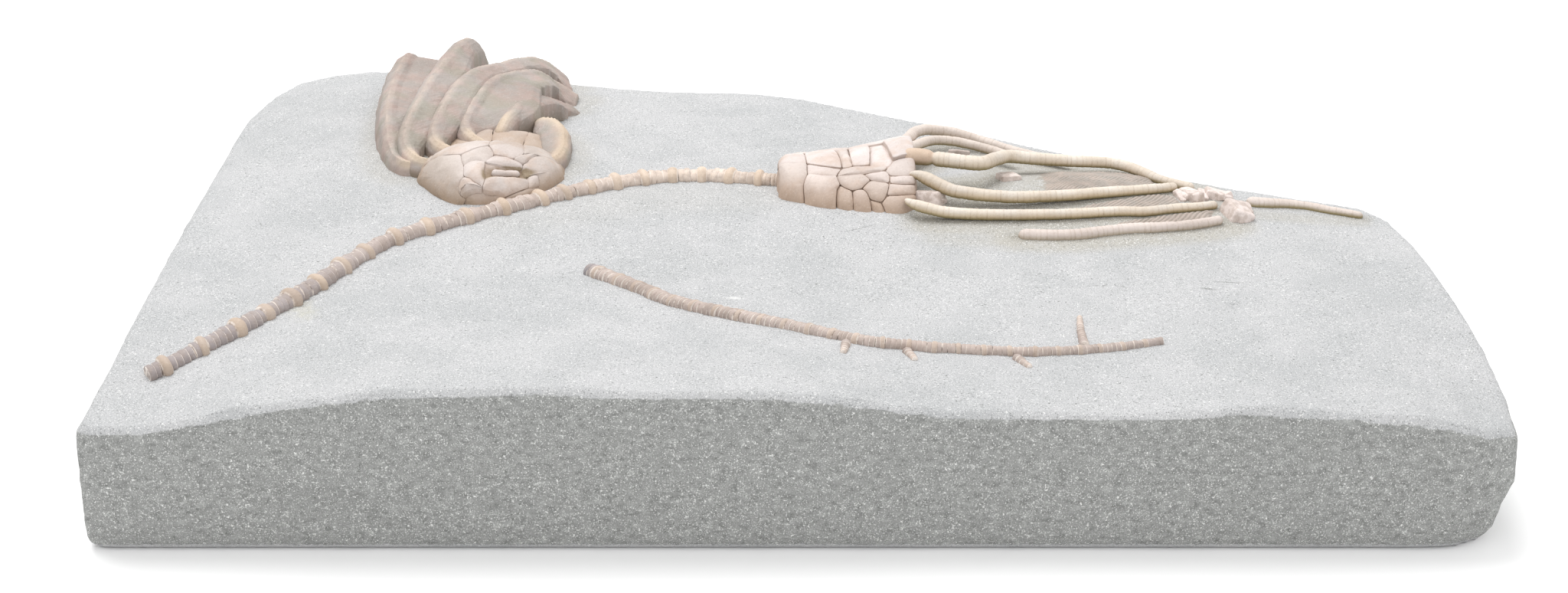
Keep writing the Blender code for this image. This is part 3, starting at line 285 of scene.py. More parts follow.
class PlateColours(bpy.types.PropertyGroup):
    """Colours that a user would change."""
    stone_light: colour_property("Stone, light", "Dusty siltstone of the top", 181, 181, 182)
    stone_dark: colour_property("Stone, dark", "Darker mottling of the siltstone", 170, 171, 172)
    # The sides' grey is darker than the top's partly as painted shade
    stone_side_and_shade: colour_property("Stone, sides", "Broken sides of the slab", 141, 142, 140)
    speck: colour_property("Specks", "Dark mineral specks", 96, 98, 94)
    # Green-grey matrix colour, also used for painted shade round the crowns
    shale_and_shade: colour_property("Shale", "Green-grey matrix between the arms", 170, 167, 160)
    stem: colour_property("Stem", "Brown of the stems", 192, 177, 169)
    stem_ring: colour_property("Stem rings", "Lighter wide rings of the stems", 212, 190, 165)
    cup: colour_property("Cup plates", "Pinkish tan of the cup plates", 205, 195, 190)
    cup_deep: colour_property("Cup seams", "Seams of the cups", 156, 132, 114)
    arm: colour_property("Arms", "Cream of the right crown's arms", 220, 211, 200)
    # Olive tone of the painted shade under the arms
    arm_under_shade: colour_property("Arm edges", "Olive lower edges of the arms", 150, 136, 96)
    fan: colour_property("Side branches", "Grey-brown of the side branches", 166, 158, 151)
    fan_deep: colour_property("Branch gaps", "Gaps between the side branches", 134, 128, 118)
    # Light brown of the crests, partly a painted highlight
    crest: colour_property("Left crests", "Light brown crests of the left arms", 181, 167, 157)
    flank: colour_property("Left flanks", "Grey-brown flanks of the left arms", 162, 154, 149)
    chip: colour_property("Chips", "Pale pink broken ossicles", 228, 216, 211)
    floor: colour_property("Floor", "Pale floor of the stage", 252, 252, 252)


def fade(value, low, high):
    """0 at low, 1 at high, eased between; low may be the larger of the two."""
    t = np.clip((value - low) / (high - low), 0.0, 1.0)
    return t * t * (3 - 2 * t)


def front_rim(x):
    """Height of the front edge at x, eased from one named point to the next."""
    places, heights = np.array(FRONT_RIM).T
    i = np.clip(np.searchsorted(places, x) - 1, 0, len(places) - 2)
    t = fade(x, places[i], places[i + 1])
    return heights[i] + t * (heights[i + 1] - heights[i])


def ground(x, y):
    """Height of the slab's top at a point of its plan."""
    height = BASE_HEIGHT
    for cx, cy, length, width, rise in SWELLS:
        height = height + rise * np.exp(-((x - cx) / length) ** 2 - ((y - cy) / width) ** 2)
    depth = np.maximum(0.0, y - FRONT_Y) / FRONT_REACH
    return height + (front_rim(x) - BASE_HEIGHT) * np.exp(-depth * depth)


def smooth_path(points):
    """Points close together on the smooth curve through the named ones, and their distances along it."""
    p = np.array(points, float)
    p = np.vstack([p[0], p, p[-1]])
    t = np.linspace(0, 1, PATH_STEPS, endpoint=False)[:, None]
    rows = []
    for a, b, c, d in zip(p, p[1:], p[2:], p[3:]):
        rows.append(0.5 * (2 * b + (c - a) * t + (2 * a - 5 * b + 4 * c - d) * t ** 2
                           + (3 * b - a - 3 * c + d) * t ** 3))
    dense = np.vstack(rows + [p[-1:]])
    steps = np.linalg.norm(np.diff(dense[:, :3], axis=0), axis=1)
    return dense, np.concatenate([[0.0], np.cumsum(steps)])


def walk(path, distance):
    """Places on a smooth path at distances along it."""
    dense, lengths = path
    return np.column_stack([np.interp(distance, lengths, column) for column in dense.T])


def heading(path, distance):
    """Unit directions of a smooth path at distances along it."""
    ahead = walk(path, distance + HEADING_REACH)[:, :3] - walk(path, distance - HEADING_REACH)[:, :3]
    return ahead / np.maximum(1e-9, np.linalg.norm(ahead, axis=1))[:, None]


def distance_to(points, x, y):
    """Distance in plan from each place to the line through the points."""
    best = np.full(np.shape(x), FAR)
    for a, b in zip(points, points[1:]):
        dx, dy = b[0] - a[0], b[1] - a[1]
        t = np.clip(((x - a[0]) * dx + (y - a[1]) * dy) / (dx * dx + dy * dy), 0, 1)
        best = np.minimum(best, np.hypot(x - a[0] - t * dx, y - a[1] - t * dy))
    return best


def deselect():
    if bpy.context.mode != "OBJECT":
        bpy.ops.object.mode_set(mode="OBJECT")
    bpy.ops.object.select_all(action="DESELECT")


def select_only(pieces):
    deselect()
    for piece in pieces:
        piece.select_set(True)
    bpy.context.view_layer.objects.active = pieces[0]


@contextmanager
def editing():
    """Edit mode with the whole of the active piece selected."""
    bpy.ops.object.mode_set(mode="EDIT")
    bpy.ops.mesh.select_all(action="SELECT")
    yield
    bpy.ops.object.mode_set(mode="OBJECT")


def join(pieces, name):
    """Several objects made one."""
    select_only(pieces)
    if len(pieces) > 1:
        bpy.ops.object.join()
    piece = bpy.context.active_object
    bpy.ops.object.transform_apply(location=True, rotation=True, scale=True)
    piece.name = name
    piece.data.name = name
    return piece


def places_of(piece):
    """A mesh's points in millimetres."""
    values = np.empty(len(piece.data.vertices) * 3, np.float32)
    piece.data.vertices.foreach_get("co", values)
    return values.reshape(-1, 3).astype(float) / MM


def move_points(piece, places):
    piece.data.vertices.foreach_set("co", (places * MM).astype(np.float32).ravel())
    piece.data.update()


def normals_of(piece):
    values = np.empty(len(piece.data.vertices) * 3, np.float32)
    piece.data.vertex_normals.foreach_get("vector", values)
    return values.reshape(-1, 3)


def mark(piece, name, values):
    """Stores one number for each point of a mesh, for the materials to read."""
    attribute = piece.data.attributes.get(name) or piece.data.attributes.new(name, "FLOAT", "POINT")
    attribute.data.foreach_set("value", np.broadcast_to(values, len(piece.data.vertices)).astype(np.float32))


def weigh(piece, name, values):
    """Stores weights in a vertex group, in steps, for the modifiers to read."""
    group = piece.vertex_groups.new(name=name)
    steps = np.round(np.clip(values, 0, 1) * WEIGHT_STEPS).astype(int)
    for step in range(1, WEIGHT_STEPS + 1):
        members = np.nonzero(steps == step)[0].tolist()
        if members:
            group.add(members, step / WEIGHT_STEPS, "REPLACE")


def apply_modifier(piece, kind, **settings):
    select_only([piece])
    modifier = piece.modifiers.new(kind.lower(), kind)
    for name, value in settings.items():
        setattr(modifier, name, value)
    bpy.ops.object.modifier_apply(modifier=modifier.name)


def displace(piece, size, strength, group="", stretch=(1, 1, 1), depth=2):
    """Raises and lowers a surface by a clouded pattern; size and strength in millimetres."""
    texture = bpy.data.textures.new("clouds", "CLOUDS")
    texture.noise_scale = size * MM
    texture.noise_depth = depth
    guide = bpy.data.objects.new("pattern_stretch", None)
    bpy.context.scene.collection.objects.link(guide)
    guide.scale = stretch
    bpy.context.view_layer.update()
    apply_modifier(piece, "DISPLACE", texture=texture, strength=strength * MM, mid_level=0.5,
                   vertex_group=group, texture_coords="OBJECT", texture_coords_object=guide)
    bpy.data.objects.remove(guide)
    bpy.data.textures.remove(texture)


def finish(piece, material, slot, *nodes):
    """Shades a piece smooth, gives it its material and puts it in the place of its CAD nodes."""
    select_only([piece])
    with editing():
        bpy.ops.mesh.normals_make_consistent(inside=False)
    bpy.ops.object.shade_smooth()
    piece.data.materials.clear()
    piece.data.materials.append(material)
    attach(piece, "root")
    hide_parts(*nodes)


def ball(name, rings, around):
    """A ball whose rings run along a piece: its object, and each point's share along it, angle and ring."""
    deselect()
    bpy.ops.mesh.primitive_uv_sphere_add(segments=around, ring_count=rings, radius=1.0)
    piece = bpy.context.active_object
    piece.name = name
    piece.data.name = name
    places = places_of(piece) * MM
    ring = np.arccos(np.clip(places[:, 2], -1, 1)) / math.pi * rings
    along = np.clip((ring - 1) / (rings - 2), 0, 1)
    angle = np.arctan2(places[:, 1], places[:, 0]) % (2 * math.pi)
    return piece, along, angle, ring


def close_poles(places, ring):
    """Puts each end point in the middle of the ring next to it."""
    last = ring.max()
    for pole, neighbour in ((0, 1), (last, last - 1)):
        near = np.abs(ring - neighbour) < 0.25
        places[np.abs(ring - pole) < 0.25] = places[near].mean(axis=0)
    return places


class Shading:
    """A node tree that is built up line by line; values may be numbers or other nodes' sockets."""

    def __init__(self, tree):
        self.tree = tree

    def add(self, kind, inputs=(), **settings):
        made = self.tree.nodes.new("ShaderNode" + kind)
        for name, value in settings.items():
            setattr(made, name, value)
        for name, value in dict(inputs).items():
            self.feed(made.inputs[name], value)
        return made

    def feed(self, socket, value):
        if isinstance(value, bpy.types.NodeSocket):
            self.tree.links.new(value, socket)
        elif socket.type == "RGBA" and len(value) == 3:
            socket.default_value = (*value, 1.0)
        else:
            socket.default_value = value

    def attribute(self, name, share=1.0):
        """A mark of the mesh, or a share of it."""
        value = self.add("Attribute", attribute_name=name).outputs["Fac"]
        return value if share == 1.0 else self.times(value, share)

    def coordinates(self):
        return self.add("TexCoord").outputs["Object"]

    def clouds(self, vector, scale, detail, roughness):
        inputs = {"Vector": vector, "Scale": scale, "Detail": detail, "Roughness": roughness}
        return self.add("TexNoise", inputs).outputs

    def noise(self, vector, size, detail=3.0, roughness=0.55):
        """A clouded value; size in millimetres."""
        return self.clouds(vector, 1 / (size * MM), detail, roughness)["Fac"]

    def patchy(self, vector, size, detail, *ends):
        """Soft-edged patches: a clouded value spanned between its ends."""
        return self.span(self.noise(vector, size, detail), *ends)

    def span(self, value, low, high, start=0.0, end=1.0):
        made = self.add("MapRange", {"Value": value, "From Min": low, "From Max": high, "To Min": start,
                                     "To Max": end}, interpolation_type="SMOOTHSTEP")
        return made.outputs["Result"]

    def calculate(self, operation, a, b, kind="Math"):
        return self.add(kind, {0: a, 1: b}, operation=operation).outputs[0]

    def times(self, a, b):
        return self.calculate("MULTIPLY", a, b)

    def mix(self, factor, a, b, blend="MIX"):
        made = self.add("Mix", data_type="RGBA", blend_type=blend)
        for name, value in (("Factor_Float", factor), ("A_Color", a), ("B_Color", b)):
            self.feed(next(s for s in made.inputs if s.identifier == name), value)
        return next(s for s in made.outputs if s.identifier == "Result_Color")

    def paint(self, colour, layers):
        """A colour with others laid over it in turn, each given as its mask and its tone."""
        for mask, tone in layers:
            colour = self.mix(mask, colour, tone)
        return colour

    def bump(self, height, distance, strength=1.0, normal=None):
        inputs = {"Height": height, "Distance": distance * MM, "Strength": strength}
        if normal is not None:
            inputs["Normal"] = normal
        return self.add("Bump", inputs).outputs["Normal"]

    def group(self, name, inputs):
        return self.add("Group", inputs, node_tree=node_group(name)).outputs


def fill_grain(shading, inputs, outputs):
    """Grain of stone or calcite: a fine speckle, a broad mottle and a height, for a grain size in metres."""
    vector = inputs["Vector"]
    scale = shading.calculate("DIVIDE", 1.0, inputs["Grain"])
    fine = shading.clouds(vector, scale, 2.0, 0.6)["Fac"]
    middle = shading.clouds(vector, shading.times(scale, 0.28), 3.0, 0.6)["Fac"]
    broad = shading.clouds(vector, shading.times(scale, 0.03), 5.0, 0.62)["Fac"]
    shading.feed(outputs["Speckle"], fine)
    shading.feed(outputs["Mottle"], broad)
    shading.feed(outputs["Height"], shading.calculate("ADD", fine, middle))


def fill_patch(shading, inputs, outputs):
    """A soft-edged ragged spot: 1 at its middle, 0 outside its half sizes."""
    away = shading.calculate("SUBTRACT", inputs["Vector"], inputs["Centre"], "VectorMath")
    turned = shading.add("VectorRotate", {"Vector": away, "Rotation": inputs["Turn"]},
                         rotation_type="EULER_XYZ")
    share = shading.calculate("DIVIDE", turned.outputs[0], inputs["Half Size"], "VectorMath")
    length = shading.add("VectorMath", {0: share}, operation="LENGTH").outputs["Value"]
    wobble = shading.times(shading.noise(inputs["Vector"], 2.5, 4.0, 0.65), inputs["Raggedness"])
    shading.feed(outputs["Mask"], shading.span(shading.calculate("ADD", length, wobble), 1.0, 0.35))


def fill_cracks(shading, inputs, outputs):
    """Hairline cracks: thin lines between cells, bent by noise."""
    scale = shading.calculate("DIVIDE", 1.0, inputs["Cell"])
    bend = shading.clouds(inputs["Vector"], shading.times(scale, 2.0), 4.0, 0.5)["Color"]
    reach = shading.times(inputs["Cell"], 0.9)
    shift = shading.add("VectorMath", {0: bend, "Scale": reach}, operation="SCALE").outputs[0]
    bent = shading.calculate("ADD", inputs["Vector"], shift, "VectorMath")
    cells = shading.add("TexVoronoi", {"Vector": bent, "Scale": scale}, feature="DISTANCE_TO_EDGE")
    line = shading.add("MapRange", {"Value": cells.outputs["Distance"], "From Min": 0.0,
                                    "From Max": shading.times(inputs["Width"], scale),
                                    "To Min": 1.0, "To Max": 0.0})
    shading.feed(outputs["Mask"], line.outputs["Result"])


# Shader node groups that the finishes share: what fills each, its inputs with their kinds, and its outputs
GROUPS = {
    "stone_grain": (fill_grain, {"Vector": "Vector", "Grain": "Float"}, ["Speckle", "Mottle", "Height"]),
    "ragged_patch": (fill_patch, {"Vector": "Vector", "Centre": "Vector", "Half Size": "Vector",
                                  "Turn": "Vector", "Raggedness": "Float"}, ["Mask"]),
    "hairline_cracks": (fill_cracks, {"Vector": "Vector", "Cell": "Float", "Width": "Float"}, ["Mask"]),
}


def node_group(name):
    """The named shader node group, made the first time that it is asked for."""
    tree = bpy.data.node_groups.get(name)
    if tree is None:
        fill, inputs, outputs = GROUPS[name]
        tree = bpy.data.node_groups.new(name, "ShaderNodeTree")
        for title, kind in inputs.items():
            tree.interface.new_socket(name=title, in_out="INPUT", socket_type="NodeSocket" + kind)
        for title in outputs:
            tree.interface.new_socket(name=title, in_out="OUTPUT", socket_type="NodeSocketFloat")
        sources, ends = tree.nodes.new("NodeGroupInput"), tree.nodes.new("NodeGroupOutput")
        fill(Shading(tree), sources.outputs, ends.inputs)
    return tree


def new_material(name, roughness):
    material = bpy.data.materials.new(name)
    material.use_nodes = True
    shader = material.node_tree.nodes["Principled BSDF"]
    shader.inputs["Roughness"].default_value = roughness
    shader.inputs["Specular IOR Level"].default_value = 0.3
    return material, Shading(material.node_tree), shader.inputs


# Marks on the stone's top: centre X and Y, half sizes, turn in degrees and raggedness; a stain also has its
# strength and its tone
STAINS = {
    "yellow": ((-76.0, -43.0), (9.5, 14.0), 30, 1.1, 0.4, rgb(190, 185, 150)),
    "green": ((48.0, -54.8), (6.0, 3.0), 0, 1.1, 0.25, rgb(160, 166, 148)),
    "white": ((-9.0, -38.9), (3.4, 1.4), -8, 0.8, 0.7, rgb(222, 222, 220)),
}
CRACK_WEB = ((50.3, -31.5), (9.5, 8.0), 0, 1.0)
FLECKS = [
    ((64.5, -34.8), (3.4, 1.0), -18, 0.7), ((68.0, -32.0), (5.5, 0.4), -6, 0.6),
    ((-88.9, -7.0), (0.5, 4.2), 22, 1.0), ((-83.4, -21.5), (0.5, 5.4), 25, 1.0),
    ((-63.6, -57.0), (1.4, 0.5), 35, 0.8), ((10.8, -10.8), (4.6, 0.35), 25, 0.5),
]
# Height at which the marks are centred, and half the height that they reach over
MARK_HEIGHT, MARK_REACH = 22.0, 30.0
FLECK_STRENGTH = 0.6
# Sizes of the stone's coarse and fine grains in metres
COARSE_GRAIN, FINE_GRAIN = 0.00042, 0.0002
# Tones that go over the stone's main colours
STONE_CLOUD = rgb(158, 160, 160)
STONE_GLINT = rgb(228, 228, 226)
# Painted contact shade where the right crown's arms meet the stone
STONE_SHADE_AT_ARMS = rgb(128, 122, 108)
# The flatter zone low on the front: centre, half sizes and turn, in metres and radians
WORN_ZONE = {"Centre": (-0.066, -0.081, 0.009), "Half Size": (0.042, 0.02, 0.0085), "Turn": (0, -0.22, 0)}


def shade(colour, share):
    """A colour made darker or lighter by a share."""
    return [c * share for c in colour]


def spot(shading, vector, centre, half, turn, ragged):
    """The mask of one mark on the stone's top."""
    return shading.group("ragged_patch", {
        "Vector": vector, "Centre": [c * MM for c in (*centre, MARK_HEIGHT)],
        "Half Size": [c * MM for c in (*half, MARK_REACH)], "Turn": (0, 0, -math.radians(turn)),
        "Raggedness": ragged})["Mask"]


def siltstone(colours):
    """Dusty grey siltstone: speckled top, hammered sides darkened partly as painted shade, green-grey matrix
    with painted shade round the crowns, stains, flecks and hairline cracks.
    """
    material, shading, shader = new_material("siltstone", 0.92)
    vector = shading.coordinates()
    grain, fine = (shading.group("stone_grain", {"Vector": vector, "Grain": size})
                   for size in (COARSE_GRAIN, FINE_GRAIN))
    layers = shading.add("Mapping", {"Vector": vector, "Scale": (0.6, 0.6, 1.0)})
    hammered = shading.noise(layers.outputs[0], 0.95, 2.0, 0.5)
    ragged = shading.times(shading.calculate("SUBTRACT", shading.noise(vector, 1.1), 0.5), 0.9)
    side = shading.span(shading.calculate("ADD", shading.attribute("side"), ragged), 0.34, 0.62)
    shale_and_shade = shading.times(shading.attribute("shale_and_shade"), shading.patchy(vector, 1.6, 4.0, 0.2, 0.62, 0.55, 1.0))
    web = shading.span(spot(shading, vector, *CRACK_WEB), 0.0, 0.3)
    cracks = shading.group("hairline_cracks", {"Vector": vector, "Cell": 0.0052, "Width": 0.00034})["Mask"]
    cracks = shading.times(shading.times(cracks, web), shading.patchy(vector, 2.4, 2.0, 0.42, 0.56))
    dark = shading.times(cracks, 0.75)
    for fleck in FLECKS:
        mask = shading.times(spot(shading, vector, *fleck), FLECK_STRENGTH)
        dark = shading.calculate("MAXIMUM", dark, mask)
    stains = [(shading.times(spot(shading, vector, *patch), share), tone)
              for *patch, share, tone in STAINS.values()]
    colour = shading.paint(colours.stone_light, [
        (shading.span(grain["Mottle"], 0.35, 0.68), colours.stone_dark),
        (shading.patchy(vector, 0.9, 3.0, 0.5, 0.72, 0.0, 0.35), STONE_CLOUD),
        # The sides, in a grey darkened partly as painted shade
        (side, side_colour(shading, vector, hammered, colours.stone_side_and_shade)),
        # Green-grey matrix, partly painted shade round the crowns
        (shale_and_shade, colours.shale_and_shade),
        # Painted contact shade along the right crown's arms
        (shading.attribute("arm_contact_shade", 0.36), STONE_SHADE_AT_ARMS),
        *stains,
        (dark, colours.speck),
    ])
    for speckle, low, high in ((grain["Speckle"], 0.62, 0.74), (fine["Speckle"], 0.56, 0.72)):
        colour = shading.paint(colour, [
            (shading.span(speckle, low, high, 0.0, 0.75), colours.speck),
            (shading.span(speckle, 1 - low, 1 - high, 0.0, 0.8), STONE_GLINT),
        ])
    shading.feed(shader["Base Color"], colour)
    rough = shading.bump(hammered, 0.42, shading.times(side, 0.9))
    shading.feed(shader["Normal"], shading.bump(grain["Height"], 0.16, 0.6, rough))
    return material


def side_colour(shading, vector, hammered, stone):
    """Hammered side: crests lightened as painted highlight, pits darkened as painted shade, faint bedding and
    a flatter, darker zone low on the left.
    """
    worn = shading.group("ragged_patch", {"Vector": vector, "Raggedness": 1.0, **WORN_ZONE})["Mask"]
    calm = shading.calculate("SUBTRACT", 1.0, shading.times(worn, 0.7))
    # Painted highlight on the raised crests and painted shade in the pits, following the bump's height
    crests = shading.times(shading.span(hammered, 0.52, 0.68, 0.0, 0.55), calm)
    pits = shading.times(shading.span(hammered, 0.47, 0.32, 0.0, 0.55), calm)
    sheets = shading.add("Mapping", {"Vector": vector, "Scale": (0.07, 0.07, 1.0),
                                     "Rotation": (0.02, 0.012, 0)})
    bedding = shading.patchy(sheets.outputs[0], 1.1, 3.0, 0.6, 0.7, 0.0, 0.4)
    right = shading.span(shading.add("SeparateXYZ", {"Vector": vector}).outputs["X"], -0.02, 0.05)
    layers = ((worn, 0.9), (crests, 1.4), (pits, 0.6), (shading.times(bedding, right), 0.68))
    return shading.paint(stone, [(mask, shade(stone, share)) for mask, share in layers])


def calcite(name, grain_size, roughness, build):
    """A fossil's finish, made once: build gives its colour, and a mottle, a speckle and a bump go over it."""
    found = bpy.data.materials.get(name)
    if found:
        return found
    material, shading, shader = new_material(name, roughness)
    vector = shading.coordinates()
    grain = shading.group("stone_grain", {"Vector": vector, "Grain": grain_size})
    mottle = shading.span(grain["Mottle"], 0.36, 0.66, 0.0, 0.22)
    colour = shading.mix(mottle, build(shading, vector), rgb(150, 128, 108), "MULTIPLY")
    colour = shading.paint(colour, [
        (shading.span(grain["Speckle"], 0.56, 0.75, 0.0, 0.2), rgb(120, 100, 84)),
        (shading.span(grain["Speckle"], 0.44, 0.28, 0.0, 0.12), rgb(240, 232, 224)),
    ])
    shading.feed(shader["Base Color"], colour)
    shading.feed(shader["Normal"], shading.bump(grain["Height"], 0.08, 0.5))
    return material


# Where the green-grey matrix, partly painted shade, shows away from the arms: beside lines, as their points,
# the two distances between which it fades, and its strength; and in ovals, as centre, half sizes, two shares
# of them between which it fades, and its strength
MATRIX_LINES = [
    ([(76.0, -3.6), (95.0, -3.0)], 1.0, 3.4, 0.6),
    ([(24.0, -14.5), (46.0, -17.2), (68.0, -12.8)], 0.5, 5.0, 0.55),
    ([(-48.0, -6.0), (-25.0, 3.0), (-6.0, 3.5)], 2.0, 10.0, 0.22),
]
MATRIX_OVALS = [((46.0, 4.0), (24.0, 13.0), 0.75, 1.1, 0.85), ((-54.0, 23.0), (15.0, 11.0), 0.8, 1.1, 1.0)]


class FOSSIL_OT_slab(bpy.types.Operator):
    """Weathers the slab: rough broken sides, a gently uneven top, and green-grey matrix with painted shade
    round the crowns
    """
    bl_idname = "fossil.slab"
    bl_label = "Slab"
    # How far up a surface faces where it starts and ends to count as top, and to count no longer as side
    TOP_FACING = (0.72, 0.94)
    SIDE_FACING = (0.35, 0.8)
    UNDERSIDE_FACING = -0.9
    FLAT = 0.05
    # Lumps of the sides and swells of the top: size, share of the named roughness, stretch and depth
    SIDE_LUMPS = ((3.4, 1.0, (1.7, 1.7, 1.0), 3), (1.5, 0.45, (1.4, 1.4, 1.0), 1))
    TOP_SWELLS = ((9.0, 1.6, (1.0, 1.0, 1.0), 2), (2.2, 1.0, (1.0, 1.0, 1.0), 2))

    def execute(self, context):
        sizes = context.scene.plate_sizes
        piece = bpy.data.objects.new("weathered_slab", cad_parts["matrix_slab"].data.copy())
        piece.data.name = piece.name
        context.scene.collection.objects.link(piece)
        select_only([piece])
        with editing():
            bpy.ops.mesh.remove_doubles(threshold=1e-6)
        apply_modifier(piece, "REMESH", mode="VOXEL", voxel_size=sizes.stone_cell)
        apply_modifier(piece, "SMOOTH", factor=0.5, iterations=6)
        places = places_of(piece)
        facing = normals_of(piece)[:, 2]
        level = fade(facing, *self.TOP_FACING)
        places[:, 2] += level * (ground(places[:, 0], places[:, 1]) - places[:, 2])
        for x, y, radius, depth in DENTS:
            away = np.hypot(places[:, 0] - x, places[:, 1] - y) / radius
            places[:, 2] -= depth * np.exp(-away * away) * level
        places[facing < self.UNDERSIDE_FACING, 2] = 0.0
        move_points(piece, places)
        side = (1 - fade(facing, *self.SIDE_FACING)) * fade(places[:, 2], 0.2, 2.0)
        weigh(piece, "sides", side)
        weigh(piece, "top", level)
        for area, roughness, layers in (("sides", sizes.side_roughness, self.SIDE_LUMPS),
                                        ("top", sizes.top_roughness, self.TOP_SWELLS)):
            for size, share, stretch, depth in layers:
                displace(piece, size, roughness / MM * share, area, stretch, depth)
        places = places_of(piece)
        places[places[:, 2] < self.FLAT, 2] = 0.0
        move_points(piece, places)
        self.mark_matrix(piece, places[:, 0], places[:, 1])
        mark(piece, "side", side)
        self.clear_underside(piece)
        finish(piece, siltstone(context.scene.plate_colours), "siltstone", "matrix_slab")
        return {"FINISHED"}

    def mark_matrix(self, piece, x, y):
        """Marks where the green-grey matrix and painted shade show round the crowns, and the painted contact
        shade where the right crown's arms meet the stone.
        """
        crown = [points for arm, (points, *_) in RIGHT_ARMS.items() if arm != "right_arm_edge"]
        near = np.min([distance_to(points, x, y) for points in crown], axis=0)
        # The matrix mark near the arms is partly painted shade
        shale_and_shade = [(1 - fade(near, 3.4, 7.5)) * fade(x, 15.0, 22.0)]
        for points, *_ in LEFT_ARMS.values():
            shale_and_shade.append(0.5 * (1 - fade(distance_to(points, x, y), 3.0, 7.0)) * fade(y, 2.0, 14.0))
        for points, start, end, share in MATRIX_LINES:
            shale_and_shade.append(share * (1 - fade(distance_to(points, x, y), start, end)))
        for centre, half, start, end, share in MATRIX_OVALS:
            away = np.hypot((x - centre[0]) / half[0], (y - centre[1]) / half[1])
            shale_and_shade.append(share * (1 - fade(away, start, end)))
        mark(piece, "shale_and_shade", np.max(shale_and_shade, axis=0))
        # Painted contact shade, strongest close to each right arm
        arm_contact_shade = [1 - fade(distance_to(points, x, y), start * 0.9, start + 1.4)
                 for points, start, *_ in RIGHT_ARMS.values()]
        mark(piece, "arm_contact_shade", np.max(arm_contact_shade, axis=0))

    def clear_underside(self, piece):
        """Makes the flat underside one face."""
        flat = places_of(piece)[:, 2] < 1e-6
        for polygon in piece.data.polygons:
            polygon.select = all(flat[i] for i in polygon.vertices)
        piece.data.vertices.foreach_set("select", np.zeros(len(flat), bool))
        piece.data.edges.foreach_set("select", np.zeros(len(piece.data.edges), bool))
        select_only([piece])
        bpy.context.tool_settings.mesh_select_mode = (False, False, True)
        bpy.ops.object.mode_set(mode="EDIT")
        bpy.ops.mesh.dissolve_faces()
        bpy.ops.object.mode_set(mode="OBJECT")


# Radius at which a ring's rims are rounded before it is drawn in to a unit; the larger, the flatter its side
BARREL = 2.8
# How strongly the side of a wide ring is drawn in towards its two rims
WIDE_ROUND = 0.6
# How far rings lean from square, in degrees, as a spread
RING_LEAN = 3.5


def ring_shape(roundness):
    """One ring of a stem, a unit in radius and a unit thick: barrel-shaped, with its two rims marked."""
    deselect()
    bpy.ops.mesh.primitive_cylinder_add(vertices=24, radius=BARREL, depth=1.0)
    piece = bpy.context.active_object
    piece.data.polygons.foreach_set("select", np.zeros(len(piece.data.polygons), bool))
    piece.data.vertices.foreach_set("select", np.zeros(len(piece.data.vertices), bool))
    for edge in piece.data.edges:
        low, high = (piece.data.vertices[i].co.z for i in edge.vertices)
        edge.select = abs(low - high) < 0.1
    bpy.context.tool_settings.mesh_select_mode = (False, True, False)
    bpy.ops.object.mode_set(mode="EDIT")
    bpy.ops.mesh.bevel(offset=0.45, segments=4, profile=0.5)
    bpy.ops.object.mode_set(mode="OBJECT")
    piece.scale = (1 / BARREL, 1 / BARREL, 1.0)
    bpy.ops.object.transform_apply(location=True, rotation=True, scale=True)
    places = places_of(piece)
    height = np.abs(places[:, 2] * MM)
    places[:, :2] *= np.sqrt(1 - (2 * roundness * height) ** 2)[:, None]
    move_points(piece, places)
    mark(piece, "rim", fade(height, 0.38, 0.47))
    return piece


def string_rings(name, path, rings, seeded, slant=0.0):
    """A stem from its rings, each given as distance along it, thickness, radius, and how wide and dark it is.

    Its first rings slant from square by the given angle in degrees, those past its middle stand square.
    """
    narrow, rounded = ring_shape(0.0), ring_shape(WIDE_ROUND)
    copies = []
    for distance, thickness, radius, wide, dark in rings:
        slanted = math.radians(slant) * (1 - fade(distance / path[1][-1], 0.3, 0.6))
        ahead = Euler((0, 0, slanted)).to_matrix() @ Vector(heading(path, distance)[0])
        place = Vector(walk(path, distance)[0]) * MM
        lean = Euler([math.radians(seeded.gauss(0, RING_LEAN)), math.radians(seeded.gauss(0, RING_LEAN)),
                      seeded.uniform(0, 6)])
        turn = ahead.to_track_quat("Z", "Y") @ lean.to_quaternion()
        copy = bpy.data.objects.new(name, (rounded if wide > 0.5 else narrow).data.copy())
        bpy.context.scene.collection.objects.link(copy)
        copy.matrix_world = Matrix.LocRotScale(place, turn, Vector((radius, radius, thickness)) * MM)
        mark(copy, "wide", wide)
        mark(copy, "dark", dark)
        mark(copy, "tint", seeded.random())
        copies.append(copy)
    bpy.data.objects.remove(narrow)
    bpy.data.objects.remove(rounded)
    return join(copies, name)


def lie(points, relief):
    """A smooth path over the slab's surface, a relief above it."""
    return smooth_path([(x, y, ground(x, y) + relief) for x, y in points])


def stem_finish(colours):
    """Brown calcite rings with thin light seams and lighter wide rings, purplish where it is crushed."""
    def build(shading, vector):
        dark = shading.attribute("dark")
        broken = shading.patchy(vector, 1.3, 2.0, 0.34, 0.54, 0.1, 1.0)
        return shading.paint(colours.stem, [
            (shading.span(shading.attribute("tint"), 0.0, 1.0, 0.0, 0.45), shade(colours.stem, 0.72)),
            (dark, rgb(146, 140, 143)),
            (shading.span(dark, 0.0, -1.0, 0.0, 0.8), rgb(230, 214, 199)),
            (shading.patchy(vector, 1.8, 4.0, 0.42, 0.62, 0.0, 0.5), rgb(160, 146, 137)),
            (shading.attribute("wide", 0.6), colours.stem_ring),
            (shading.times(shading.attribute("rim"), broken), rgb(236, 227, 219)),
        ])

    return calcite("stem_calcite", 0.0003, 0.6, build)


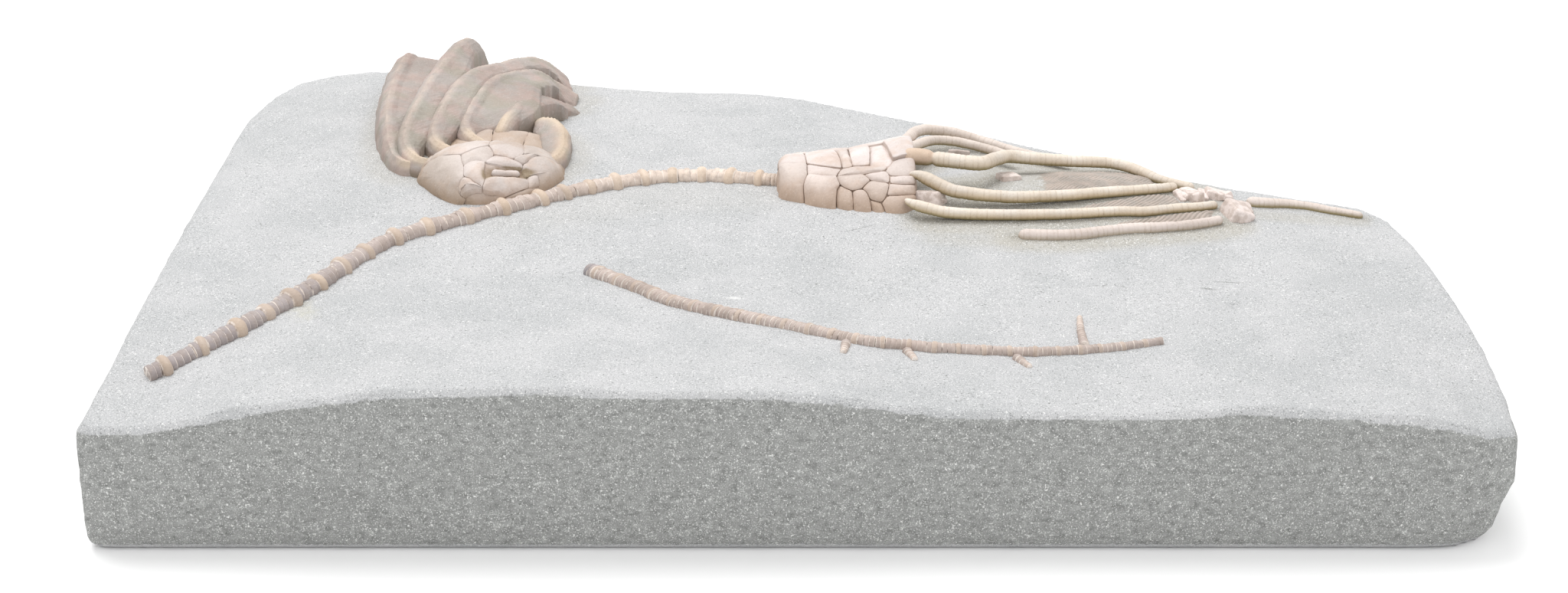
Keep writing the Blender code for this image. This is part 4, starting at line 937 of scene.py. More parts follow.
class FOSSIL_OT_long_stem(bpy.types.Operator):
    """Strings the long stem's rings from its crushed end to the cup, with a wide ring at intervals"""
    bl_idname = "fossil.long_stem"
    bl_label = "Long stem"
    # The stem lies half sunk and a little flattened: height of its middle, and its height as a share of its
    # width; its last rings before the cup are thin and alike
    RELIEF = 0.4
    FLATNESS = 0.78
    LAST_RINGS = 5.0
    SEED = 11

    def execute(self, context):
        sizes = context.scene.plate_sizes
        path = lie(LONG_STEM, self.RELIEF)
        length = path[1][-1]
        seeded = random.Random(self.SEED)
        rings = []
        distance = 0.4
        next_wide = 2.0
        while distance < length - 0.5:
            share = distance / length
            thickness = sizes.long_ring / MM * seeded.uniform(0.85, 1.12)
            radius = sizes.long_radius / MM * seeded.uniform(0.96, 1.05)
            wide = 0.0
            if distance >= next_wide:
                wide = seeded.uniform(0.6, 1.0)
                radius += sizes.wide_reach / MM * seeded.uniform(0.75, 1.25)
                thickness *= 1.5
                spacing = sizes.wide_ring / MM * (1.0 if share < 0.6 else 0.66)
                next_wide = distance + spacing * seeded.uniform(0.85, 1.15)
            elif seeded.random() < 0.3:
                radius += 0.24
            if length - distance < self.LAST_RINGS:
                wide, thickness, radius = 0.15, thickness * 0.6, 1.62
            tone = 0.75 * (1 - fade(share, 0.1, 0.6)) - 0.8 * fade(share, 0.55, 0.9)
            rings.append((distance + thickness / 2, thickness * 1.06, radius, wide, tone))
            distance += thickness
        piece = string_rings("ringed_long_stem", path, rings, seeded, -18.0)
        places = places_of(piece)
        level = ground(places[:, 0], places[:, 1]) + self.RELIEF
        places[:, 2] = level + (places[:, 2] - level) * self.FLATNESS
        move_points(piece, places)
        displace(piece, 1.8, 0.14)
        finish(piece, stem_finish(context.scene.plate_colours), "stem", "long_stem")
        return {"FINISHED"}


class FOSSIL_OT_short_stem(bpy.types.Operator):
    """Strings the thin stem in front and the rootlets beside it"""
    bl_idname = "fossil.short_stem"
    bl_label = "Short stem and rootlets"
    # How far the stem's middle lies over the stone, and its radius at the start and what it loses on the way;
    # then the same for a rootlet, and the thickness of a rootlet's rings
    RELIEF = 0.18
    RADIUS, THINNING = 1.42, 0.68
    ROOTLET_RELIEF = 0.05
    ROOTLET_RADIUS, ROOTLET_THINNING = 0.76, 0.34
    ROOTLET_RING = 0.85
    SEED = 5

    def execute(self, context):
        sizes = context.scene.plate_sizes
        material = stem_finish(context.scene.plate_colours)
        path = lie(SHORT_STEM, self.RELIEF)
        length = path[1][-1]
        seeded = random.Random(self.SEED)
        rings = []
        distance = 0.3
        while distance < length - 0.4:
            share = distance / length
            thickness = sizes.short_ring / MM * (1.0 - 0.3 * share) * seeded.uniform(0.85, 1.15)
            radius = (self.RADIUS - self.THINNING * share) * seeded.uniform(0.94, 1.04)
            wide = 0.0
            if len(rings) % 5 == 2:
                wide, radius = 0.45, radius + 0.1
            worn = max(1 - fade(distance, 0.0, 3.0), 0.05 + 0.3 * fade(share, 0.8, 1.0))
            rings.append((distance + thickness / 2, thickness * 1.05, radius, wide, worn))
            distance += thickness
        piece = string_rings("ringed_short_stem", path, rings, seeded, -14.0)
        displace(piece, 1.4, 0.16)
        finish(piece, material, "stem", "short_stem")
        for number, points in enumerate(CIRRI, 1):
            path = lie(points, self.ROOTLET_RELIEF)
            length = path[1][-1]
            count = max(3, round(length / self.ROOTLET_RING))
            rings = []
            for i in range(count):
                radius = self.ROOTLET_RADIUS - self.ROOTLET_THINNING * i / count
                rings.append(((i + 0.5) * length / count, length / count, radius, 0.0, 0.2 - 0.8 * i / count))
            piece = string_rings("ringed_cirrus_%d" % number, path, rings, seeded)
            displace(piece, 1.0, 0.15)
            finish(piece, material, "stem", "cirrus_%d" % number)
        return {"FINISHED"}


def drawn_in(share, reach, left):
    """Share of its size that a form keeps near an end: what is left at the end, all of it past the reach."""
    return np.minimum(1, left + (1 - left) * np.sqrt(np.clip(share / reach, 0, 1)))


def right_cup_point(along, angle, lift):
    """The right cup's surface: a cone lying down, widest where the arms start."""
    start, end, axis, base = RIGHT_CUP
    narrow, gain = RIGHT_CUP_WIDTH
    low, slope, flare = RIGHT_CUP_RISE
    t = (along - start) / (end - start)
    rounding = drawn_in(t, 0.06, 0.82) * drawn_in(1 - t, 0.1, 0.86)
    width = (narrow + gain * np.sin(np.minimum(1, t * 1.05) * math.pi / 2)) * rounding + lift
    rise = (low + slope * t + flare * t ** 4) * rounding + lift
    return np.column_stack([along, axis + width * np.cos(angle), base + rise * np.sin(angle)])


def left_cup_point(along, angle, lift):
    """The left cup's surface: a bowl seen from below, with a sunken slot and a low shelf behind it."""
    start, end, axis, base = LEFT_CUP
    (narrow, wider), (low, higher) = LEFT_CUP_WIDTH, LEFT_CUP_RISE
    t = np.minimum(1, (along - start) / (end - start))
    near = drawn_in(t, 0.1, 0.75)
    lift = lift - LEFT_SLOT[3] * in_slot(along, angle)
    width = (narrow + wider * np.sin(np.minimum(1, t * 1.1) * math.pi / 2)) * near
    rise = (low + higher * np.sin(np.minimum(1, t * 1.5) * math.pi / 2)) * near
    width = width * drawn_in(1 - t, 0.45, 0.8) + lift
    rise = rise * drawn_in(1 - t, 0.45, 0.62) + lift
    return np.column_stack([axis + width * np.cos(angle), along, base + rise * np.sin(angle)])


def in_slot(along, angle):
    """1 inside the left cup's slot, 0 away from it."""
    (middle, turn), (long, wide), lean, _ = LEFT_SLOT
    across = (angle - math.radians(turn)) * CUP_ROUND
    away = (across / long) ** 4 + ((along - middle + lean * across) / wide) ** 4
    return np.exp(-away)


# How a plate rises over its rim: width of each step inwards and height at its end; then from the rim to the
# middle: share of the size that is left, and share of the bulge
PLATE_FOOT = -0.9
PLATE_RIM = [(0.015, -0.2), (0.03, -0.09), (0.05, 0.0), (0.08, 0.04)]
DOME = [(0.93, 0.2), (0.8, 0.5), (0.55, 0.82), (0.27, 0.97)]
# Distance between the points of a plate's outline, and how far its edges wander
OUTLINE_STEP = 0.5
OUTLINE_BEND = 0.14


def plate_outline(corners):
    """Points close together round a plate, through its corners, with edges that wander a little."""
    points = []
    for a, b in zip(corners, corners[1:] + corners[:1]):
        count = max(2, round(np.linalg.norm(b - a) / OUTLINE_STEP))
        low, high = sorted((tuple(a), tuple(b)))
        bend = OUTLINE_BEND * math.sin(5.1 * (low[0] + high[0]) + 3.7 * (low[1] + high[1]))
        across = np.array((high[1] - low[1], low[0] - high[0])) * bend / np.linalg.norm(b - a)
        for i in range(count):
            t = i / count
            points.append(a + (b - a) * t + across * math.sin(math.pi * t))
    return points


def flat_plate(corners, bulge, seam):
    """A plate laid out flat: its outline, softened at the corners, raised over a rounded rim to a dome."""
    turning = sum(a[0] * b[1] - a[1] * b[0] for a, b in zip(corners, corners[1:] + corners[:1]))
    outline = plate_outline(corners if turning > 0 else corners[::-1])
    deselect()
    bpy.ops.mesh.primitive_circle_add(vertices=len(outline), radius=1.0)
    piece = bpy.context.active_object
    move_points(piece, np.array([(*point, PLATE_FOOT) for point in outline]) / MM)
    centre = (*np.mean(outline, axis=0), PLATE_FOOT)
    bpy.context.tool_settings.mesh_select_mode = (True, False, False)
    with editing():
        bpy.ops.mesh.vertices_smooth(factor=0.5, repeat=1)
        bpy.ops.mesh.edge_face_add()
        bpy.ops.mesh.normals_make_consistent(inside=False)
        height = PLATE_FOOT
        for step, rise in PLATE_RIM:
            target = rise * seam if rise < 0 else rise
            bpy.ops.mesh.inset(thickness=step, depth=0.0)
            bpy.ops.transform.translate(value=(0, 0, target - height))
            height = target
        before = 1.0
        for share, rise in DOME:
            target = PLATE_RIM[-1][1] + rise * bulge
            bpy.ops.mesh.extrude_region_move(TRANSFORM_OT_translate={"value": (0, 0, target - height)})
            bpy.ops.transform.resize(value=(share / before, share / before, 1), center_override=centre)
            before, height = share, target
        bpy.ops.mesh.poke()
    return piece


# The shell under a cup's plates: its rings and points round, the length over which its ends are rounded, how
# far it runs past the plates, how deep it lies under them, and how far it goes on below the cup's base
SHELL_GRID = (60, 72)
SHELL_ROUND = 1.6
SHELL_PAST = 0.3
SHELL_DEPTH = 0.35
SHELL_FOOT = 3.0


def plated_cup(name, surface, cup, corners, plates, bulge, hollow_shade, seed):
    """A cup tiled with domed plates over a darker shell that shows in the seams."""
    base = cup[3]
    start, end = (side(along for along, _ in corners.values()) for side in (min, max))
    seeded = random.Random(seed)
    pieces = []
    for keys, stand, *seam in plates:
        seam = seam[0] if seam else 1.0
        places = [np.array((along, math.radians(turn) * CUP_ROUND))
                  for along, turn in (corners[key] for key in keys.split())]
        plate = flat_plate(places, bulge * seeded.uniform(0.75, 1.25), seam)
        places = places_of(plate) * MM
        mark(plate, "seam", fade(places[:, 2], 0.05, -0.14) * seam)
        mark(plate, "tint", seeded.random())
        mark(plate, "hollow_shade", hollow_shade(places[:, 0], places[:, 1] / CUP_ROUND))
        places[:, 2] += seeded.uniform(-0.05, 0.05) + stand
        move_points(plate, surface(places[:, 0], places[:, 1] / CUP_ROUND, places[:, 2]))
        pieces.append(plate)
    shell, along, angle, ring = ball(name, *SHELL_GRID)
    near = np.minimum(1, np.minimum(along, 1 - along) * (end - start) / SHELL_ROUND)
    round_off = 1.8 * (1 - np.sqrt(np.clip(1 - (1 - near) ** 2, 0, 1)))
    distance = start - SHELL_PAST + along * (end - start + 2 * SHELL_PAST)
    places = surface(distance, angle, -SHELL_DEPTH - round_off)
    places[places[:, 2] < base, 2] = base - SHELL_FOOT
    move_points(shell, close_poles(places, ring))
    mark(shell, "seam", near)
    mark(shell, "tint", 0.5)
    mark(shell, "hollow_shade", hollow_shade(distance, angle))
    return join([shell] + pieces, name)


def cup_finish(colours):
    """Pinkish tan calcite plates, each a little different, with brown seams, painted shade towards the foot
    and painted olive shade in the left cup's slot and on its sides.
    """
    def build(shading, vector):
        return shading.paint(colours.cup, [
            (shading.span(shading.attribute("tint"), 0.0, 1.0, 0.0, 0.8), rgb(218, 208, 205)),
            (shading.patchy(vector, 4.2, 3.0, 0.46, 0.66, 0.0, 0.55), rgb(202, 180, 166)),
            (shading.patchy(vector, 5.5, 2.0, 0.44, 0.3, 0.0, 0.6), rgb(226, 215, 210)),
            # Painted shade towards the foot, where the cup nears the stone
            (shading.attribute("low", 0.9), rgb(178, 154, 134)),
            # Painted olive shade in the left cup's slot and on its sides
            (shading.attribute("hollow_shade", 0.92), rgb(134, 116, 88)),
            (shading.attribute("seam", 0.45), colours.cup_deep),
        ])

    return calcite("cup_calcite", 0.00035, 0.58, build)


def mark_low_shade(piece, reach):
    """Marks painted shade by how near each point lies to the slab's surface."""
    places = places_of(piece)
    mark(piece, "low", 1 - fade(places[:, 2] - ground(places[:, 0], places[:, 1]), 0.0, reach))


class FOSSIL_OT_right_cup(bpy.types.Operator):
    """Tiles the right crown's cup with its plates"""
    bl_idname = "fossil.right_cup"
    bl_label = "Right cup"
    SEED = 3

    def execute(self, context):
        bulge = context.scene.plate_sizes.plate_bulge / MM
        piece = plated_cup("plated_right_cup", right_cup_point, RIGHT_CUP, RIGHT_CUP_CORNERS,
                           RIGHT_CUP_PLATES, bulge, lambda along, angle: along * 0, self.SEED)
        displace(piece, 2.6, 0.3)
        mark_low_shade(piece, 6.0)
        finish(piece, cup_finish(context.scene.plate_colours), "cup", "right_cup")
        return {"FINISHED"}


class FOSSIL_OT_left_cup(bpy.types.Operator):
    """Tiles the left crown's cup and lays the light bar in its slot"""
    bl_idname = "fossil.left_cup"
    bl_label = "Left cup"
    SEED = 8

    def execute(self, context):
        bulge = context.scene.plate_sizes.plate_bulge / MM
        piece = plated_cup("plated_left_cup", left_cup_point, LEFT_CUP, LEFT_CUP_CORNERS,
                           LEFT_CUP_PLATES, bulge, self.hollow_shade, self.SEED)
        piece = join([piece, self.slot_bar()], "plated_left_cup")
        displace(piece, 2.6, 0.5)
        mark_low_shade(piece, 3.2)
        finish(piece, cup_finish(context.scene.plate_colours), "cup", "left_cup")
        return {"FINISHED"}

    def hollow_shade(self, along, angle):
        """How much painted olive shade the cup gets: the slot's floor most, then the bowl's two sides and the
        back.
        """
        turn = np.degrees(angle)
        sides = np.maximum(0.4 * fade(turn, 98, 140), 0.28 * (1 - fade(turn, 15, 50)))
        sides = np.maximum(sides, 0.26 * fade(along, 7.0, 12.0))
        return np.maximum(0.14 + 0.82 * fade(in_slot(along, angle), 0.002, 0.12), sides)

    def slot_bar(self):
        """The light bar that lies in the slot."""
        (middle, turn), (long, _), lean, _ = LEFT_SLOT
        across = np.linspace(0.78, -0.72, 7) * long
        angles = math.radians(turn) + across / CUP_ROUND
        seat = left_cup_point(middle + 0.4 - lean * across, angles, 0.1)
        bar, _, angle, radius, frames, ring = sweep("slot_bar", smooth_path(seat), 0.72, 0.6, 0.2, 20)
        move_points(bar, close_poles(tube_points(frames, angle, radius), ring))
        mark(bar, "seam", 0.0)
        mark(bar, "tint", 1.0)
        mark(bar, "hollow_shade", 0.12)
        return bar


def sweep(name, path, start, end, step, around):
    """A rounded tube on a path: its object, and each point's distance, angle, radius, frame and ring."""
    length = path[1][-1]
    piece, along, angle, ring = ball(name, max(8, round(length / step)), around)
    distance = along * length
    centre = walk(path, distance)[:, :3]
    ahead = heading(path, distance)
    side = np.column_stack([ahead[:, 1], -ahead[:, 0], np.zeros(len(ahead))])
    side /= np.linalg.norm(side, axis=1)[:, None]
    up = np.cross(side, ahead)
    radius = start + (end - start) * along
    near = np.minimum(distance, length - distance) / (radius * 1.1)
    radius = radius * np.sqrt(np.clip(1 - (1 - np.clip(near, 0, 1)) ** 2, 0.05, 1))
    return piece, distance, angle, radius, (centre, side, up), ring


def tube_points(frames, angle, radius):
    """Places round a tube's centre line, from its frames of centre, side and up."""
    centre, side, up = frames
    return centre + radius[:, None] * (np.cos(angle)[:, None] * side + np.sin(angle)[:, None] * up)


def groove(distance, pitch, width):
    """1 at each joint between ossicles, 0 between joints."""
    away = np.abs(distance / pitch - np.round(distance / pitch)) * pitch
    return np.exp(-(away / width) ** 2)


# Length of the brown oval knob that the back arm starts from
KNOB_LENGTH = 5.4


def arm_finish(colours):
    """Cream calcite with fine brown joints, tan painted shade on the lower side and olive painted shade along
    the lower edge and near the stone.
    """
    def build(shading, vector):
        worn = shading.patchy(vector, 1.5, 3.0, 0.36, 0.6, 0.1, 0.42)
        return shading.paint(colours.arm, [
            (shading.span(shading.attribute("tint"), 0.0, 1.0, 0.0, 0.22), rgb(206, 184, 154)),
            # Tan painted shade over the lower side of the arm
            (shading.attribute("lower", 0.7), rgb(196, 173, 134)),
            (shading.attribute("pink"), rgb(212, 200, 194)),
            (shading.times(shading.attribute("suture"), worn), rgb(140, 112, 84)),
            (shading.attribute("knob"), rgb(202, 180, 160)),
            # Olive painted shade on the underside and where the arm nears the stone
            (shading.attribute("under_shade"), colours.arm_under_shade),
        ])

    return calcite("arm_calcite", 0.0003, 0.58, build)


class FOSSIL_OT_right_arms(bpy.types.Operator):
    """Models the right crown's arms, ossicle by ossicle"""
    bl_idname = "fossil.right_arms"
    bl_label = "Right arms"
    # The arm that starts from the knob, the arms that start thin, how pink an arm is, and how strong the
    # painted shade of its lower side and of its edge is where that isn't in full
    KNOBBED = "right_arm_back"
    THIN_START = ("right_arm_middle", "right_arm_front")
    PINK = {"right_arm_low": 0.9, "right_arm_outer_loop": 0.7, "right_arm_inner_loop": 0.6,
            "right_arm_edge": 0.8}
    LOWER_SHADE = {"right_arm_back": 0.5}
    UNDER_SHADE = {"right_arm_low": 0.45, "right_arm_outer_loop": 0.45}

    def execute(self, context):
        material = arm_finish(context.scene.plate_colours)
        pitch = context.scene.plate_sizes.ossicle / MM
        for number, (arm, (points, start, end, two_rows)) in enumerate(RIGHT_ARMS.items()):
            piece, distance, angle, radius, frames, ring = sweep(
                "jointed_" + arm, smooth_path(points), start, end, 0.17, 30)
            half = np.where(np.cos(angle) > 0, 0.25, -0.25) if two_rows else 0.0
            wander = 0.12 * np.sin(distance * 2.3 + number)
            joint = groove(distance + wander + half * pitch, pitch, 0.075)
            if two_rows:
                zigzag = np.abs((distance / pitch) % 1.0 - 0.5) * 4 - 1
                middle = np.cos(angle) * radius + 0.3 - 0.16 * zigzag
                joint = np.maximum(joint, np.exp(-(middle / 0.11) ** 2) * (np.sin(angle) > 0))
            bead = 0.01 * np.cos(2 * math.pi * (distance + wander + half * pitch) / pitch)
            smooth = np.zeros(len(distance))
            if arm == self.KNOBBED:
                smooth = 1 - fade(distance, KNOB_LENGTH - 0.2, KNOB_LENGTH + 0.2)
                neck = np.exp(-((distance - KNOB_LENGTH) / 0.45) ** 2)
                radius = radius * (1 + 0.1 * smooth * np.sin(np.clip(distance / KNOB_LENGTH, 0, 1) * math.pi))
                radius = radius * (1 - 0.22 * neck)
            if arm in self.THIN_START:
                radius = radius * (0.55 + 0.45 * fade(distance, 0.0, 3.5))
            carve = (1 - smooth) * (bead + 0.025 * joint)
            places = close_poles(tube_points(frames, angle, radius * (1 - carve)), ring)
            move_points(piece, places)
            clear = places[:, 2] - ground(places[:, 0], places[:, 1])
            # Painted shade on the underside and where the arm lies close to the stone
            under_shade = np.maximum(1 - fade(np.sin(angle), -0.75, 0.05), 1 - fade(clear, 0.1, 0.9))
            # Painted shade: the lower side of each arm turns darker and tan
            mark(piece, "lower", fade(np.sin(angle), 0.75, -0.35) * self.LOWER_SHADE.get(arm, 1.0))
            mark(piece, "under_shade", under_shade * self.UNDER_SHADE.get(arm, 1.0))
            mark(piece, "suture", joint * (1 - smooth) * (0.65 + 0.35 * fade(np.sin(angle), 0.6, -0.3)))
            mark(piece, "knob", smooth)
            mark(piece, "pink", self.PINK.get(arm, 0.0))
            segment = np.floor((distance + wander) / pitch)
            mark(piece, "tint", np.abs(np.sin(segment * 12.9 + number * 3.1)))
            displace(piece, 1.8, 0.16)
            finish(piece, material, "arm", arm)
        return {"FINISHED"}


def fan_finish(colours):
    """Grey-brown side branches with darker gaps."""
    def build(shading, vector):
        broken = shading.patchy(vector, 1.4, 3.0, 0.34, 0.62, 0.25, 0.8)
        clouds = shading.calculate("SUBTRACT", shading.noise(vector, 1.2, 4.0), 0.5)
        ragged = shading.calculate("ADD", shading.attribute("fray"), clouds)
        return shading.paint(colours.fan, [
            (shading.patchy(vector, 2.6, 3.0, 0.38, 0.64), rgb(180, 167, 158)),
            (shading.times(shading.attribute("gap"), broken), colours.fan_deep),
            (shading.span(ragged, 0.35, 0.75), colours.shale_and_shade),
        ])

    return calcite("fan_calcite", 0.0003, 0.72, build)


class FOSSIL_OT_fans(bpy.types.Operator):
    """Lays the sheets of fine side branches between the right crown's arms"""
    bl_idname = "fossil.fans"
    bl_label = "Side branches"
    # Direction of the branches, how high the sheet lies over the stone, how thick it is, and its grid
    SLANT = math.radians(52)
    RELIEF = 0.55
    THICKNESS = 1.2
    GRID = (120, 80)

    def execute(self, context):
        material = fan_finish(context.scene.plate_colours)
        pitch = context.scene.plate_sizes.fan_pitch / MM
        for name, (lower, upper) in FANS.items():
            low, high = smooth_path(lower), smooth_path(upper)
            deselect()
            columns, rows = self.GRID
            bpy.ops.mesh.primitive_grid_add(x_subdivisions=columns, y_subdivisions=rows, size=2.0)
            piece = context.active_object
            flat = places_of(piece) * MM
            along, across = (flat[:, 0] + 1) / 2, (flat[:, 1] + 1) / 2
            a = walk(low, along * low[1][-1])
            b = walk(high, along * high[1][-1])
            plan = a + (b - a) * across[:, None]
            x, y = plan[:, 0], plan[:, 1]
            slant = x * math.sin(self.SLANT) - y * math.cos(self.SLANT) + 0.25 * np.sin(y * 0.9)
            gap = groove(slant, pitch, 0.14)
            inside = np.minimum.reduce([across * 8, (1 - across) * 8, along * 4, (1 - along) * 12])
            edge = fade(inside, 0, 1)
            z = ground(x, y) + self.RELIEF * edge - 0.16 * gap * edge - 0.1 * (1 - edge)
            move_points(piece, np.column_stack([x, y, z]))
            mark(piece, "gap", gap)
            mark(piece, "fray", 1 - fade(along, 0.0, 0.16))
            with editing():
                down = (0, 0, -self.THICKNESS * MM)
                bpy.ops.mesh.extrude_region_move(TRANSFORM_OT_translate={"value": down})
            piece = join([piece], "ribbed_" + name)
            displace(piece, 2.2, 0.25)
            finish(piece, material, "fan", name)
        return {"FINISHED"}


def chip_finish(colours):
    """Pale pink, slightly glassy broken calcite."""
    def build(shading, vector):
        glassy = shading.patchy(vector, 1.2, 3.0, 0.4, 0.62)
        return shading.mix(glassy, colours.chip, rgb(200, 186, 178))

    return calcite("chip_calcite", 0.00025, 0.5, build)


class FOSSIL_OT_chips(bpy.types.Operator):
    """Models the broken ossicles that lie about the right crown"""
    bl_idname = "fossil.chips"
    bl_label = "Broken ossicles"
    SEED = 21

    def execute(self, context):
        material = chip_finish(context.scene.plate_colours)
        seeded = random.Random(self.SEED)
        for name, ((x, y), half, turn) in CHIPS.items():
            lumps = []
            count = 5 if name.startswith("tip") else 2
            for number in range(count):
                share = 0.95 if number == 0 else seeded.uniform(0.4, 0.6)
                away = 0.0 if number == 0 else 0.75
                deselect()
                bpy.ops.mesh.primitive_cube_add(size=2.0)
                lump = context.active_object
                lump.scale = [h * share * MM for h in half]
                lump.rotation_euler = (seeded.uniform(-0.4, 0.4), seeded.uniform(-0.4, 0.4),
                                       math.radians(turn) + seeded.uniform(-0.5, 0.5) * (number > 0))
                shift = (seeded.uniform(-away, away) * half[0], seeded.uniform(-away, away) * half[1])
                place = (x + shift[0], y + shift[1])
                lump.location = (place[0] * MM, place[1] * MM, (ground(*place) + 0.15 * half[2]) * MM)
                bpy.ops.object.transform_apply(location=True, rotation=True, scale=True)
                apply_modifier(lump, "BEVEL", width=0.45 * min(half) * share * MM, segments=3)
                apply_modifier(lump, "SUBSURF", levels=2, render_levels=2)
                lumps.append(lump)
            piece = join(lumps, "broken_" + name)
            displace(piece, 1.1, 0.25)
            finish(piece, material, "chip", name)
        return {"FINISHED"}


def left_arm_finish(colours):
    """Light brown beaded crests, partly a painted highlight, and grey-brown ribbed flanks with painted shade
    in their hollows, low on their left walls and near the stone.
    """
    def build(shading, vector):
        broken = shading.patchy(vector, 2.6, 2.0, 0.34, 0.58, 0.15, 1.0)
        return shading.paint(colours.flank, [
            (shading.patchy(vector, 5.0, 4.0, 0.38, 0.64), rgb(172, 154, 147)),
            (shading.patchy(vector, 6.5, 2.0, 0.48, 0.64, 0.0, 0.6), rgb(150, 147, 134)),
            (shading.attribute("gap", 0.18), rgb(134, 122, 106)),
            # The crest line painted lighter: partly its own calcite, partly a painted highlight
            (shading.times(shading.attribute("crest"), broken), colours.crest),
            # The bulbs' tops painted light tan: partly their own colour, partly a painted highlight
            (shading.attribute("glow", 0.6), rgb(214, 194, 168)),
            # Painted shade near the stone and low on the left walls
            (shading.attribute("under_shade", 0.75), rgb(118, 104, 84)),
        ])

    return calcite("left_arm_calcite", 0.00035, 0.62, build)


class FOSSIL_OT_left_arms(bpy.types.Operator):
    """Models the left crown's swept-back arms and its curled one, each a beaded crest with a ribbed flank"""
    bl_idname = "fossil.left_arms"
    bl_label = "Left arms"
    # Points round the section, and its length along the arm
    AROUND = 84
    STEP = 0.28
    # Share of the way round at which each corner of the section lies: up the left side, over the crest, down
    # the flank, and back underneath
    CORNERS = (0.0, 0.06, 0.16, 0.28, 0.36, 0.48, 0.70, 0.78, 0.84, 1.0)
    # How far the walls go down under the edges, and how far the lowest points reach into the stone
    WALL = 40
    SUNK = 1.5
    # Arms with frayed ends, the curled arm, and the arm whose left side is the crown's outside
    FRAYED = ("left_arm_3", "left_arm_4", "left_arm_5")
    CURLED = "left_arm_6"
    OUTERMOST = "left_arm_1"

    def execute(self, context):
        material = left_arm_finish(context.scene.plate_colours)
        pitch = context.scene.plate_sizes.rib_pitch / MM
        for name, (points, (left_start, left_end), left_drop, (drop_start, drop_end)) in LEFT_ARMS.items():
            path = smooth_path(points)
            length = path[1][-1]
            piece, along, angle, ring = ball("feathered_" + name, round(length / self.STEP), self.AROUND)
            distance = along * length
            centre = walk(path, distance)
            ahead = heading(path, distance)
            level = np.linalg.norm(ahead[:, :2], axis=1)
            side = np.column_stack([ahead[:, 1] / level, -ahead[:, 0] / level])
            left = left_start + (left_end - left_start) * along
            frayed = 0.14 if name in self.FRAYED else 0.0
            ragged = frayed * fade(along, 0.55, 0.9) * np.sin(distance * 1.5) * np.cos(distance * 0.6)
            right = centre[:, 3] * (1 + ragged)
            right_drop = drop_start + (drop_end - drop_start) * along
            cap = np.sqrt(np.clip(1 - (1 - np.clip(distance / 1.6, 0, 1)) ** 2, 0.02, 1))
            reach, drop = self.section(angle / (2 * math.pi), left * cap, right * cap, left_drop, right_drop)
            plan = centre[:, :2] + side * reach[:, None]
            floor = ground(plan[:, 0], plan[:, 1])
            crest = np.exp(-(reach / 0.7) ** 2)
            flank = fade(reach, 0.9, 2.2)
            slant = distance - 1.25 * reach + 0.3 * np.sin(distance * 0.6)
            gap = groove(slant, pitch, 0.2) * flank
            near_end = 1 - fade(distance, 3.0, 9.0) * (name != self.CURLED)
            bead = (0.05 + 0.08 * near_end) * np.cos(2 * math.pi * distance / (pitch * 0.9)) * crest
            bead *= fade(distance, 0.6, 3.0)
            height = centre[:, 2] + 0.15 - drop - (1 - cap) * 1.2 + bead - 0.03 * gap
            z = np.maximum(height, floor - self.SUNK)
            move_points(piece, close_poles(np.column_stack([plan, z]), ring))
            mark(piece, "crest", crest)
            mark(piece, "gap", gap)
            # Light tan on the bulbs' tops: partly their own colour, partly a painted highlight
            mark(piece, "glow", fade(drop, 1.8, 0.6) * near_end * np.exp(-(reach / 1.5) ** 2))
            # Painted shade near the stone and low on the left walls, weaker on the crown's outside and towards
            # the ends
            under_shade = np.maximum(1 - fade(z - floor, 0.0, 1.8), fade(drop, 1.5, 3.0) * (reach < 0))
            outside = (reach < 0) * (name == self.OUTERMOST)
            under_shade *= 1 - 0.75 * np.maximum(outside, fade(along, 0.65, 0.85))
            mark(piece, "under_shade", under_shade)
            displace(piece, 4.0, 0.5)
            displace(piece, 1.1, 0.2)
            finish(piece, material, "left_arm", name)
        return {"FINISHED"}

    def section(self, turn, left, right, left_drop, right_drop):
        """Sideways reach and drop below the crest at a share of the way round the section."""
        zero = np.zeros(len(turn))
        reaches = [-left, -left, -left * 0.5, zero, np.minimum(1.0, right * 0.4),
                   np.minimum(1.9, right * 0.65), right * 0.85, right, right, -left]
        drops = [self.WALL, left_drop, left_drop * 0.3, 0, right_drop * 0.08,
                 right_drop * 0.3, right_drop * 0.65, right_drop, self.WALL, self.WALL]
        drops = [zero + drop for drop in drops]
        reach, drop = zero.copy(), zero.copy()
        for i, (low, high) in enumerate(zip(self.CORNERS, self.CORNERS[1:])):
            here = (turn >= low) & (turn <= high)
            share = ((turn - low) / (high - low))[here]
            reach[here] = reaches[i][here] * (1 - share) + reaches[i + 1][here] * share
            drop[here] = drops[i][here] * (1 - share) + drops[i + 1][here] * share
        return reach, drop


